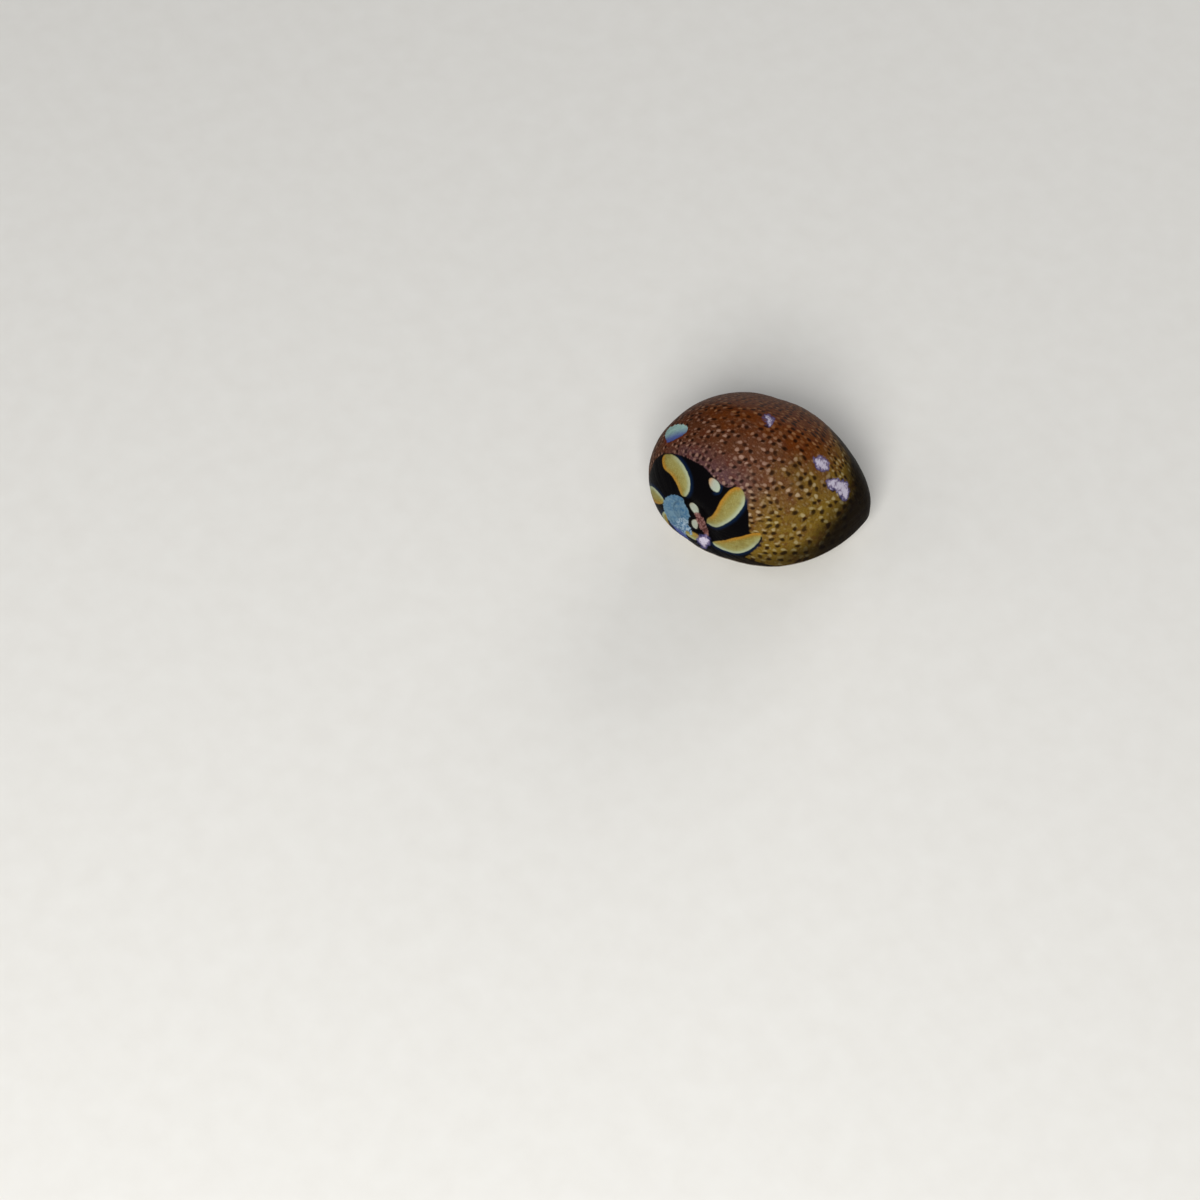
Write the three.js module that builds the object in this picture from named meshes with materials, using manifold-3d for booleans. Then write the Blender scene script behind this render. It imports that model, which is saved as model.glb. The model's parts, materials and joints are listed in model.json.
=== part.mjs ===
// A nerite snail as a still, life-size model: a dome-shaped shell with a low, worn spire,
// carried by a flat-soled foot, with a short head, two feelers and two stalked eyes.
// Millimetres, +Z up. The head points along -Y and the animal's right side is -X.
// The origin is on the floor, under the middle of the whole model.

import * as THREE from 'three';
import { mergeVertices } from 'three/addons/utils/BufferGeometryUtils.js';
import Module from 'manifold-3d';

const wasm = await Module();
wasm.setup();

const DEG = Math.PI / 180;
const GAP = 0.3;

// Shell: a logarithmic spiral round the coil axis, which starts at the apex
const LIP_RADIUS = 11.72;
const GROWTH_PER_TURN = 3.49;
const LIP_FLARE = 0.048;
const FLARE_START = 30;
const AXIS_LENGTH = 17.6;
const BULGE_FRONT = 0.676;
const BULGE_REAR = 0.16;
const LARGEST_SHARE = 1.1;
const ROUND_BASE = 2.75;
const ROUND_CROWN = 0.8;
const FLANK_EASE = 0.17;
const ROUND_SHOULDER = 1.97;
const SUTURE_RATIO = 0.2;
const SHOULDER_DROP = 1.07;
const APEX_DROP = 0.35;
const SPIRE_CURVE = 1.5;
const SUTURE_DEPTH = 0.3;
const SUTURE_WIDTH = 0.1;
const WALL = 0.9;

// Shares of the whorl's outline, from the apex: to the suture, and to the widest part
const TO_SUTURE = 0.2;
const TO_WIDEST = 0.55;

// Grid steps round the coil axis and along the outline, outside and inside
const OUTER_STEPS = [72, 36];
const INNER_STEPS = [44, 22];

// Shell pose: how the coil axis lies over the foot
const LIP_ANGLE = -24;
const BODY_WHORL_END = 265;
const AXIS_TILT = 5.4;
const APEX_TURN = 22;
const LIP_HEIGHT = 2.3;
const APERTURE_DROP = 4.7;
const APEX_PLACE = [-1.1, 9.92];

// Aperture: a half-moon opening closed at the back by a flat deck
const DECK_EDGE = 1.2;
const APERTURE_DEPTH = 4.2;
const MANTLE_DEPTH = 0.5;

// Foot: an oval sole with a hump that rises into the aperture
const SOLE_LENGTH = 13.0;
const SOLE_WIDTH = 12.0;
const SOLE_CENTRE = [0.2, -0.4];
const FOOT_STEPS = [44, 26];
const FOOT_TOP_SHARE = 0.72;
const SOLE_SHARE = 0.95;
const FOOT_RIM = 0.9;
const FOOT_EDGE = 0.25;
const RIM_FALL = 3;
const RIM_ROUND = 0.6;
const HUMP_LENGTH = 9.6;
const HUMP_WIDTH = 5.8;
const HUMP_CENTRE = [-2.1, -0.9];
const HUMP_SLOPE = 1.6;

// Operculum: the lid, carried on the back of the foot under the deck
const LID_LENGTH = 5.8;
const LID_WIDTH = 4.0;
const LID_THICKNESS = 0.55;
const LID_CENTRE = [2.9, 2.4];
const LID_FLATTENING = 0.62;
const LID_STEPS = 28;

// Head: flat, with a two-lobed snout and a mouth slit in its front
const HEAD_STEPS = [32, 22];
const HEAD_WIDTH = 4.0;
const HEAD_HEIGHT = 1.6;
const HEAD_FLOOR_GAP = 0.35;
const HEAD_X = 1.2;
const HEAD_BACK = -3.0;
const HEAD_FRONT = -9.5;
const HEAD_BLUNTNESS = [3.2, 2.4];
const NECK_SHARE = 0.86;
const SNOUT_NOTCH = 0.35;
const NOTCH_WIDTH = 0.55;
const MOUTH_HEIGHT = 0.8;
const MOUTH_WIDTH = 1.9;
const MOUTH_OPENING = 0.24;
const MOUTH_DEPTH = 0.55;

// Feelers, and the eyes on short stalks beside them
const LIMB_STEPS = [12, 20];
const LIMB_ROUND_END = 0.1;
const FEELER_ROOT = 0.34;
const FEELER_TIP = 0.14;
const FEELER_SIDE = 1.5;
const FEELER_PLACE = [-8.1, 1.25];
const FEELER_ANCHOR = [-0.9, 0.7];
const FEELER_BEND = [0.62, 0.45, 0.7];
const FEELER_REACH_LEFT = [2.6, -2.2, 0.3];
const FEELER_REACH_RIGHT = [-0.8, -2.2, 0.2];
const STALK_RADIUS = 0.5;
const STALK_LENGTH = 2.2;
const STALK_PLACE = [0.9, -7.1, 1.2];
const STALK_LEAN = [1, -0.2, 0.15];
const EYE_RADIUS = 0.36;
const EYE_ALONG_STALK = 0.92;
const BEAD_STEPS = [20, 12];

const SHELL_FINISH = { color: 0x6a4a38, roughness: 0.45, metalness: 0 };
const FLESH_FINISH = { color: 0x8d8676, roughness: 0.5, metalness: 0 };
const MANTLE_FINISH = { color: 0x6f6a5e, roughness: 0.5, metalness: 0 };
const LID_FINISH = { color: 0x9a8a74, roughness: 0.4, metalness: 0 };
const EYE_FINISH = { color: 0x0a0a0b, roughness: 0.15, metalness: 0 };

const group = new THREE.Group();

function smooth(t) {
  const s = Math.min(Math.max(t, 0), 1);
  return s * s * (3 - 2 * s);
}

function addMesh(name, geometry, finish) {
  const mesh = new THREE.Mesh(geometry, new THREE.MeshStandardMaterial(finish));
  mesh.name = name;
  group.add(mesh);
}

// Closed surface from rows of points: a ring of rows around, a pole at each end of the columns
function closedSurface(rows, columns, pointAt) {
  const positions = [];
  const indices = [];
  for (let i = 0; i < rows; i++) {
    for (let j = 1; j < columns; j++) {
      positions.push(...pointAt(i / rows, j / columns));
    }
  }
  const inner = columns - 1;
  const first = positions.length / 3;
  positions.push(...pointAt(0, 0), ...pointAt(0, 1));
  for (let i = 0; i < rows; i++) {
    const here = i * inner;
    const next = ((i + 1) % rows) * inner;
    indices.push(first, next, here);
    for (let j = 0; j < inner - 1; j++) {
      indices.push(here + j, next + j, here + j + 1);
      indices.push(next + j, next + j + 1, here + j + 1);
    }
    indices.push(here + inner - 1, next + inner - 1, first + 1);
  }
  const geometry = new THREE.BufferGeometry();
  geometry.setAttribute('position', new THREE.Float32BufferAttribute(positions, 3));
  geometry.setIndex(indices);
  return geometry;
}

function toSolid(geometry) {
  const clean = geometry.clone();
  clean.deleteAttribute('normal');
  clean.deleteAttribute('uv');
  const merged = mergeVertices(clean, 1e-5);
  const solid = new wasm.Manifold(new wasm.Mesh({
    numProp: 3,
    vertProperties: new Float32Array(merged.attributes.position.array),
    triVerts: new Uint32Array(merged.index.array),
  }));
  if (solid.volume() > 0) return solid;
  const turned = Array.from(merged.index.array);
  for (let i = 0; i < turned.length; i += 3) {
    [turned[i], turned[i + 1]] = [turned[i + 1], turned[i]];
  }
  return new wasm.Manifold(new wasm.Mesh({
    numProp: 3,
    vertProperties: new Float32Array(merged.attributes.position.array),
    triVerts: new Uint32Array(turned),
  }));
}

// The largest closed surface of a solid, as a mesh
function toGeometry(solid) {
  const pieces = solid.decompose();
  let largest = pieces[0];
  for (const piece of pieces) {
    if (piece.volume() > largest.volume()) largest = piece;
  }
  const mesh = largest.getMesh();
  const geometry = new THREE.BufferGeometry();
  geometry.setAttribute('position', new THREE.BufferAttribute(mesh.vertProperties, 3));
  geometry.setIndex(Array.from(mesh.triVerts));
  return geometry;
}

function boxSolid(low, high) {
  const size = high.map((value, i) => value - low[i]);
  const box = new THREE.BoxGeometry(...size);
  box.translate(...low.map((value, i) => value + size[i] / 2));
  return toSolid(box);
}

// Growth of the spiral, 1 near the height of the axis in front; the lip flares a little
function freeSize(angle) {
  const flare = 1 + LIP_FLARE * smooth((FLARE_START - angle) / (FLARE_START - LIP_ANGLE));
  return GROWTH_PER_TURN ** (-angle / 360) * flare;
}

// Size of the spiral at an angle round the coil axis. Below the aperture plane the old
// whorl is led back out to the lip.
function spiralSize(angle) {
  if (angle <= BODY_WHORL_END) return freeSize(angle);
  const t = smooth((angle - BODY_WHORL_END) / (360 + LIP_ANGLE - BODY_WHORL_END));
  return freeSize(BODY_WHORL_END) * (1 - t) + freeSize(LIP_ANGLE) * t;
}

// Rise of the flank from 0 to 1 that starts gently
function easedRise(down) {
  const ease = Math.hypot(down, FLANK_EASE) - FLANK_EASE;
  return ease / (Math.hypot(1, FLANK_EASE) - FLANK_EASE);
}

// Radius and depth below the apex of the whorl's outline: u runs from the apex over the
// suture and the shoulder to the widest part, and on to the far end of the coil axis at 1
function whorlOutline(angle, u, inset) {
  const size = spiralSize(angle);
  const radius = LIP_RADIUS * size - inset;
  const last = spiralSize(BODY_WHORL_END);
  const share = Math.min(Math.max((size - last) / (1 - last), 0), LARGEST_SHARE);
  const widest = AXIS_LENGTH * (BULGE_REAR + (BULGE_FRONT - BULGE_REAR) * share);
  const suture = SUTURE_RATIO * radius;
  const shoulder = SHOULDER_DROP * size + inset;
  if (u < TO_SUTURE) {
    const q = u / TO_SUTURE;
    const drop = APEX_DROP + inset + (shoulder - APEX_DROP - inset) * q ** SPIRE_CURVE;
    const groove = SUTURE_DEPTH * size * Math.exp(-(((q - 1) / SUTURE_WIDTH) ** 2));
    return [suture * q, drop + groove];
  }
  if (u < TO_WIDEST) {
    const turn = ((u - TO_SUTURE) / (TO_WIDEST - TO_SUTURE)) * 90 * DEG;
    const out = Math.sin(turn) ** (2 / ROUND_SHOULDER);
    const down = Math.cos(turn) ** (2 / ROUND_SHOULDER);
    const groove = SUTURE_DEPTH * size * Math.exp(-((out / SUTURE_WIDTH) ** 2));
    return [suture + (radius - suture) * out, widest - (widest - shoulder) * down + groove];
  }
  const crown = Math.max(Math.sin(angle * DEG), 0);
  const power = ROUND_BASE + (ROUND_CROWN - ROUND_BASE) * crown;
  const down = Math.sin(((u - TO_WIDEST) / (1 - TO_WIDEST)) * 90 * DEG);
  const narrowing = Math.sqrt(Math.max(1 - easedRise(down) ** power, 0));
  return [radius * narrowing, widest + (AXIS_LENGTH - inset - widest) * down];
}

// From the shell's own axes to the model: the apex leans up, and points back and right
function placeShell(front, up, depth) {
  const tilt = AXIS_TILT * DEG;
  const turn = APEX_TURN * DEG;
  const along = -up * Math.sin(tilt) - depth * Math.cos(tilt);
  const height = up * Math.cos(tilt) - depth * Math.sin(tilt);
  return [
    -front * Math.cos(turn) - along * Math.sin(turn) + APEX_PLACE[0],
    -front * Math.sin(turn) + along * Math.cos(turn) + APEX_PLACE[1],
    height + LIP_HEIGHT + APERTURE_DROP,
  ];
}

function whorlSurface(steps, inset) {
  return closedSurface(...steps, (v, u) => {
    const angle = LIP_ANGLE + v * 360;
    const [radius, depth] = whorlOutline(angle, u, inset);
    return placeShell(radius * Math.cos(angle * DEG), radius * Math.sin(angle * DEG), depth);
  });
}

// The slab in front of the deck's edge, in the shell's turned axes, between two heights
function slabBeforeDeck(edge, low, high) {
  const box = new THREE.BoxGeometry(40, 60, high - low);
  box.translate(-20 - edge, 0, (low + high) / 2);
  box.rotateZ(APEX_TURN * DEG);
  box.translate(APEX_PLACE[0], APEX_PLACE[1], 0);
  return toSolid(box);
}

function makeShell() {
  const outer = toSolid(whorlSurface(OUTER_STEPS, 0));
  const below = boxSolid([-40, -40, -20], [40, 40, LIP_HEIGHT]);
  const slab = slabBeforeDeck(DECK_EDGE, LIP_HEIGHT - 1, LIP_HEIGHT + APERTURE_DEPTH);
  const hollow = toSolid(whorlSurface(INNER_STEPS, WALL)).intersect(slab);
  addMesh('shell', toGeometry(outer.subtract(below).subtract(hollow)), SHELL_FINISH);
}

// Mantle: the soft body that fills the aperture just inside the lip
function makeMantle() {
  const low = LIP_HEIGHT + MANTLE_DEPTH;
  const slab = slabBeforeDeck(DECK_EDGE + GAP, low, LIP_HEIGHT + APERTURE_DEPTH - GAP);
  const inner = toSolid(whorlSurface(INNER_STEPS, WALL + GAP));
  addMesh('mantle', toGeometry(inner.intersect(slab)), MANTLE_FINISH);
}

// Height of the foot's back over the floor: a rounded rim, then a hump into the aperture
function footHeight(x, y, reach) {
  const rim = FOOT_EDGE + FOOT_RIM * (1 - reach ** RIM_FALL) ** RIM_ROUND;
  const humpX = (x - HUMP_CENTRE[0]) / (HUMP_WIDTH / 2);
  const humpY = (y - HUMP_CENTRE[1]) / (HUMP_LENGTH / 2);
  const hump = smooth(HUMP_SLOPE * (1 - Math.hypot(humpX, humpY)));
  const top = LIP_HEIGHT + MANTLE_DEPTH - GAP;
  return rim + (top - FOOT_EDGE - FOOT_RIM) * hump;
}

// The foot grown outwards by a margin, so that its neighbours can be cut clear of it
function footSurface(margin) {
  return closedSurface(...FOOT_STEPS, (v, u) => {
    const angle = v * 2 * Math.PI;
    const onTop = u < FOOT_TOP_SHARE;
    const outwards = Math.sin((u / FOOT_TOP_SHARE) * 90 * DEG);
    const inwards = SOLE_SHARE * (1 - u) / (1 - FOOT_TOP_SHARE);
    const reach = onTop ? outwards : inwards;
    const x = SOLE_CENTRE[0] + Math.cos(angle) * reach * (SOLE_WIDTH / 2 + margin);
    const y = SOLE_CENTRE[1] + Math.sin(angle) * reach * (SOLE_LENGTH / 2 + margin);
    return [x, y, onTop ? footHeight(x, y, reach) + margin : -margin];
  });
}

function makeFoot() {
  addMesh('foot', toGeometry(toSolid(footSurface(0))), FLESH_FINISH);
}

function makeOperculum() {
  const shape = new THREE.Shape();
  for (let i = 0; i < LID_STEPS; i++) {
    const angle = (i / LID_STEPS) * 2 * Math.PI;
    const flat = Math.cos(angle) > 0 ? 1 : LID_FLATTENING;
    const x = Math.cos(angle) * flat * LID_WIDTH / 2;
    const y = Math.sin(angle) * LID_LENGTH / 2;
    if (i === 0) shape.moveTo(x, y);
    else shape.lineTo(x, y);
  }
  const lid = new THREE.ExtrudeGeometry(shape, { depth: LID_THICKNESS, bevelEnabled: false });
  lid.rotateZ(APEX_TURN * DEG);
  lid.translate(LID_CENTRE[0], LID_CENTRE[1], LIP_HEIGHT - GAP - LID_THICKNESS);
  addMesh('operculum', toGeometry(toSolid(lid)), LID_FINISH);
}

// Head: rounded sections carried from the neck to the two-lobed snout
function headSurface(margin) {
  const halfLength = (HEAD_BACK - HEAD_FRONT) / 2 + margin;
  const middle = (HEAD_BACK + HEAD_FRONT) / 2;
  return closedSurface(...HEAD_STEPS, (v, u) => {
    const angle = v * 2 * Math.PI;
    const along = -Math.cos(u * Math.PI);
    const blunt = (1 - Math.abs(along) ** HEAD_BLUNTNESS[0]) ** (1 / HEAD_BLUNTNESS[1]);
    const broad = NECK_SHARE + (1 - NECK_SHARE) * smooth((along + 0.2) / 0.8);
    const x = Math.cos(angle) * blunt * broad * (HEAD_WIDTH / 2 + margin);
    const z = Math.sin(angle) * blunt * (HEAD_HEIGHT / 2 + margin);
    const notch = SNOUT_NOTCH * smooth(along) * Math.exp(-((x / NOTCH_WIDTH) ** 2));
    const y = middle - along * halfLength + notch;
    return [HEAD_X + x, y, HEAD_FLOOR_GAP + HEAD_HEIGHT / 2 + z];
  });
}

function makeHead() {
  const slit = new THREE.SphereGeometry(1, ...BEAD_STEPS);
  slit.scale(MOUTH_WIDTH / 2, MOUTH_DEPTH, MOUTH_OPENING / 2);
  slit.translate(HEAD_X, HEAD_FRONT + SNOUT_NOTCH, MOUTH_HEIGHT);
  const clearFoot = toSolid(footSurface(GAP));
  const head = toSolid(headSurface(0)).subtract(clearFoot).subtract(toSolid(slit));
  addMesh('head', toGeometry(head), FLESH_FINISH);
}

// A tapering round limb along a curve, with both ends rounded off
function limbSurface(curve, rootRadius, tipRadius) {
  const roundEnd = (into) => Math.sqrt(Math.max(1 - Math.max(1 - into / LIMB_ROUND_END, 0) ** 2, 0));
  return closedSurface(...LIMB_STEPS, (v, u) => {
    const centre = curve.getPointAt(u);
    const ahead = curve.getTangentAt(u);
    const side = new THREE.Vector3(0, 0, 1).cross(ahead).normalize();
    const up = ahead.clone().cross(side);
    const taper = rootRadius + (tipRadius - rootRadius) * u;
    const radius = taper * roundEnd(1 - u) * roundEnd(u);
    const angle = v * 2 * Math.PI;
    centre.addScaledVector(side, Math.cos(angle) * radius);
    centre.addScaledVector(up, Math.sin(angle) * radius);
    return centre.toArray();
  });
}

function feelerCurve(side, reach) {
  const place = (x, y, z) => new THREE.Vector3(x, y, z);
  const start = place(HEAD_X + side * FEELER_SIDE, ...FEELER_PLACE);
  const root = start.clone().add(place(side * FEELER_ANCHOR[0], FEELER_ANCHOR[1], 0));
  const bend = start.clone().add(place(...FEELER_BEND.map((share, i) => share * reach[i])));
  return new THREE.CatmullRomCurve3([root, start, bend, start.clone().add(place(...reach))]);
}

// The stalk leans outwards, forwards and a little up from the side of the head
function stalkCurve(side) {
  const [across, along, height] = STALK_PLACE;
  const root = new THREE.Vector3(HEAD_X + side * across, along, height);
  const lean = new THREE.Vector3(side * STALK_LEAN[0], STALK_LEAN[1], STALK_LEAN[2]).normalize();
  return new THREE.LineCurve3(root, root.clone().addScaledVector(lean, STALK_LENGTH));
}

function makeFeelersAndEyes() {
  const clearHead = toSolid(headSurface(GAP));
  const sides = [['left', 1, FEELER_REACH_LEFT], ['right', -1, FEELER_REACH_RIGHT]];
  for (const [name, side, reach] of sides) {
    const feeler = toSolid(limbSurface(feelerCurve(side, reach), FEELER_ROOT, FEELER_TIP));
    addMesh(`tentacle_${name}`, toGeometry(feeler.subtract(clearHead)), FLESH_FINISH);
    const stalk = stalkCurve(side);
    const eyePlace = stalk.getPoint(EYE_ALONG_STALK);
    const socket = new THREE.SphereGeometry(EYE_RADIUS + GAP, ...BEAD_STEPS);
    socket.translate(...eyePlace.toArray());
    const limb = toSolid(limbSurface(stalk, STALK_RADIUS, STALK_RADIUS));
    const cutLimb = limb.subtract(clearHead).subtract(toSolid(socket));
    addMesh(`eye_stalk_${name}`, toGeometry(cutLimb), FLESH_FINISH);
    const eye = new THREE.SphereGeometry(EYE_RADIUS, ...BEAD_STEPS);
    eye.translate(...eyePlace.toArray());
    addMesh(`eye_${name}`, toGeometry(toSolid(eye)), EYE_FINISH);
  }
}

makeShell();
makeMantle();
makeFoot();
makeOperculum();
makeHead();
makeFeelersAndEyes();

export default group;
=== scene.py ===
# %% [markdown]
# # A nerite snail, life size
# The animal is a small snail under a smooth dome of a shell. The shell is a coil that opens
# so fast that its last turn is nearly all one sees: the old turns are a little worn button
# at the back. Below it sits a flat grey foot, with a short head, two feelers and two eyes.
# We load the packed model first, because every piece of ours goes where its solids are.

# %% Load the frame
import json
import math
from itertools import product

import bmesh
import bpy
import numpy as np
from mathutils import Matrix, Vector

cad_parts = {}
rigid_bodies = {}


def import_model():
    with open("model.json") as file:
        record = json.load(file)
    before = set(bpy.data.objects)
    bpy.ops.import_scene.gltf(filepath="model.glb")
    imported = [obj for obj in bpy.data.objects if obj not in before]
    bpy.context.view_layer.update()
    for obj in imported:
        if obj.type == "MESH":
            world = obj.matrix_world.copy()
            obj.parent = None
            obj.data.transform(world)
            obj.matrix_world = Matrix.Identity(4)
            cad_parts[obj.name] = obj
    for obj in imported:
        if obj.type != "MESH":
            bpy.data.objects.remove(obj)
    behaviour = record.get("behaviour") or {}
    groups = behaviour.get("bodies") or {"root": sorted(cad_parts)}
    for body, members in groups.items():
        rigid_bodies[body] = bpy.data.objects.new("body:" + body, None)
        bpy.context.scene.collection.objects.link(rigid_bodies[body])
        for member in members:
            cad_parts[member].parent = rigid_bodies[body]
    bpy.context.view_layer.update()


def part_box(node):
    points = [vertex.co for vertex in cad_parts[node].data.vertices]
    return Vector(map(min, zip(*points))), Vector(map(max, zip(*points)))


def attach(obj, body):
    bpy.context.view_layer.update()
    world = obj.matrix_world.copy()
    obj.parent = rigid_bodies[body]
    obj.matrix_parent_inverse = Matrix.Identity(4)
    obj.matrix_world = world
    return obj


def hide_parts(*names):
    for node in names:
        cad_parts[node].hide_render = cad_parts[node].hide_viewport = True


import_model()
MM = 0.001

# %% [markdown]
# ## Grids
# A shell, a foot and a feeler are all closed skins that two numbers can wrap: one goes round,
# the other goes from pole to pole. They could be modelled by hand from a ball, but then their
# sizes would be hard to state. So we work out a grid of points from a formula each time, and
# one helper joins any such grid into faces and closes both poles with triangles.


# %% Grids and their faces
def smooth(t):
    """An S-shaped step: 3t² - 2t³ between 0 and 1, flat outside."""
    t = np.clip(t, 0, 1)
    return t * t * (3 - 2 * t)


def ring_faces(around, along):
    """Corners and face sizes of a closed grid.

    Point (i, j) has number i * (along - 1) + j - 1, and the two poles come last. A square
    joins (i, j), (i + 1, j), (i + 1, j + 1) and (i, j + 1), and i wraps round.
    """
    inner = along - 1
    i = np.arange(around)[:, None]
    j = np.arange(inner - 1)[None, :]
    here, following = i * inner, ((i + 1) % around) * inner
    squares = np.stack([here + j, following + j, following + j + 1, here + j + 1], -1)
    south, north = around * inner, around * inner + 1
    i, here, following = i[:, 0], here[:, 0], following[:, 0]
    first = np.stack([np.full(around, south), following, here], -1)
    last = np.stack([here + inner - 1, following + inner - 1, np.full(around, north)], -1)
    corners = np.concatenate([squares.reshape(-1), first.reshape(-1), last.reshape(-1)])
    sizes = np.concatenate([np.full(squares.size // 4, 4), np.full(2 * around, 3)])
    return corners, sizes


def closed_points(grid):
    """Drops a grid's first and last columns to one point each: its poles."""
    poles = np.stack([grid[:, 0].mean(0), grid[:, -1].mean(0)])
    return np.concatenate([grid[:, 1:-1].reshape(-1, 3), poles])


print("faces of a small closed grid:", len(ring_faces(4, 3)[1]))

# %% [markdown]
# ## From points to a mesh
# Blender shades and exports a skin by the way its faces point, so they must all point outwards.
# The volume tells: added up from the faces, it is negative where they point inwards. Then
# every face's corners are read backwards, which turns it round.


# %% Meshes
def make_mesh(name, points, corners, sizes):
    """A mesh from points in millimetres, the corners of its faces in a row, and their counts."""
    mesh = bpy.data.meshes.new(name)
    mesh.vertices.add(len(points))
    mesh.vertices.foreach_set("co", (points * MM).astype(np.float32).ravel())
    mesh.loops.add(len(corners))
    mesh.loops.foreach_set("vertex_index", corners.astype(np.int32))
    mesh.polygons.add(len(sizes))
    starts = np.concatenate([[0], np.cumsum(sizes)[:-1]])
    mesh.polygons.foreach_set("loop_start", starts.astype(np.int32))
    mesh.polygons.foreach_set("use_smooth", np.ones(len(sizes), bool))
    mesh.update(calc_edges=True)
    return mesh


def volume(points, corners, sizes):
    """Six times the volume inside: each face's corner fan gives triple products a · (b × c)."""
    starts = np.concatenate([[0], np.cumsum(sizes)[:-1]])
    total = 0
    for step in (1, 2):
        fan = starts[sizes > step + 1]
        a, b, c = points[corners[fan]], points[corners[fan + step]], points[corners[fan + step + 1]]
        total += np.einsum("ij,ij->", a, np.cross(b, c))
    return total


def outwards(points, corners, sizes):
    """Turns every face round if the volume is negative, which means that they point inwards."""
    if volume(points - points.mean(0), corners, sizes) > 0:
        return corners
    ends = np.repeat(np.cumsum(sizes) - 1, sizes)
    begins = np.repeat(np.cumsum(sizes) - sizes, sizes)
    return corners[begins + ends - np.arange(len(corners))]


def closed_mesh(name, grid):
    """A closed mesh from a grid whose first column and last column are the poles."""
    points = closed_points(grid)
    corners, sizes = ring_faces(grid.shape[0], grid.shape[1] - 1)
    return make_mesh(name, points, outwards(points, corners, sizes), sizes)


turn, way = np.meshgrid(np.arange(24) / 24 * math.tau, np.linspace(0, np.pi, 13), indexing="ij")
ball = np.stack([np.cos(turn) * np.sin(way), np.sin(turn) * np.sin(way), np.cos(way)], -1)
ball_volume = abs(volume(closed_points(ball), *ring_faces(24, 12))) / 6
print("volume of a ball of radius 1, a little under 4.19:", round(ball_volume, 2))

# %% [markdown]
# ## Soft chance, and a place for pieces
# Wear and wrinkles are irregular but smooth, so we need random numbers that blend into each
# other. Blender has such textures, but ours are plain arrays, and a seed makes them the same
# each run. The second helper hands a finished mesh to the model: it rides on the body, and it
# stands for the packed solids that it names.


# %% Soft noise and pieces
def soft_noise(points, cell, seed):
    """Random numbers from -1 to 1 sit at the corners of cubes, and a point blends its eight."""
    table = np.random.default_rng(seed).uniform(-1, 1, (32, 32, 32))
    place = points / cell
    base = np.floor(place).astype(int)
    share = smooth(place - base)
    total = 0
    for corner in product((0, 1), repeat=3):
        weight = np.prod(np.where(corner, share, 1 - share), axis=-1)
        at = (base + corner) % 32
        total = total + weight * table[at[..., 0], at[..., 1], at[..., 2]]
    return total


def add_piece(name, mesh, slot, *nodes):
    """Shows a mesh as a piece that rides on the body and stands for the named solids."""
    piece = bpy.data.objects.new(name, mesh)
    bpy.context.collection.objects.link(piece)
    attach(piece, "root")
    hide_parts(*nodes)
    print(f"{name}: {len(mesh.vertices)} points, {len(mesh.polygons)} faces")
    return piece


print("soft noise at three places:", soft_noise(np.eye(3), 0.4, 1).round(2))

# %% [markdown]
# ## The shell's coil
# A snail adds to the rim of its shell all its life and keeps the rim's shape, so each turn is
# a copy of the last one, grown by one factor: here 3.5 times a turn. The rim's outline is
# drawn once, from the apex over the shoulder to the widest part and on to the far end, and is
# carried round the coil axis while it grows. We write it as a function of two numbers, the
# angle round the axis and the place on the outline, because the pattern needs them later too.

# %% The outline and its growth
LIP_RADIUS, GROWTH_PER_TURN, AXIS_LENGTH = 11.72, 3.49, 17.6
LIP_FLARE, FLARE_START = 0.048, 30.0
BULGE_FRONT, BULGE_REAR = 0.676, 0.16
ROUND_BASE, ROUND_CROWN, ROUND_SHOULDER, FLANK_EASE = 2.75, 0.8, 1.97, 0.17
SUTURE_RATIO, SHOULDER_DROP, APEX_DROP = 0.2, 1.07, 0.35
SUTURE_DEPTH, SUTURE_WIDTH = 0.3, 0.1
LIP_ANGLE, BODY_WHORL_END = -24.0, 265.0
SUTURE_PLACE, WIDEST_PLACE = 0.2, 0.55


def free_size(angle):
    """Growth to the power of minus the turns; the last bit before the lip flares a little."""
    flare = 1 + LIP_FLARE * smooth((FLARE_START - angle) / (FLARE_START - LIP_ANGLE))
    return GROWTH_PER_TURN ** (-angle / 360) * flare


def spiral_size(angle):
    """The free size, led back to the lip's size under the shell."""
    end, lip = free_size(BODY_WHORL_END), free_size(LIP_ANGLE)
    t = smooth((angle - BODY_WHORL_END) / (360 + LIP_ANGLE - BODY_WHORL_END))
    return np.where(angle <= BODY_WHORL_END, free_size(angle), end + (lip - end) * t)


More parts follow.
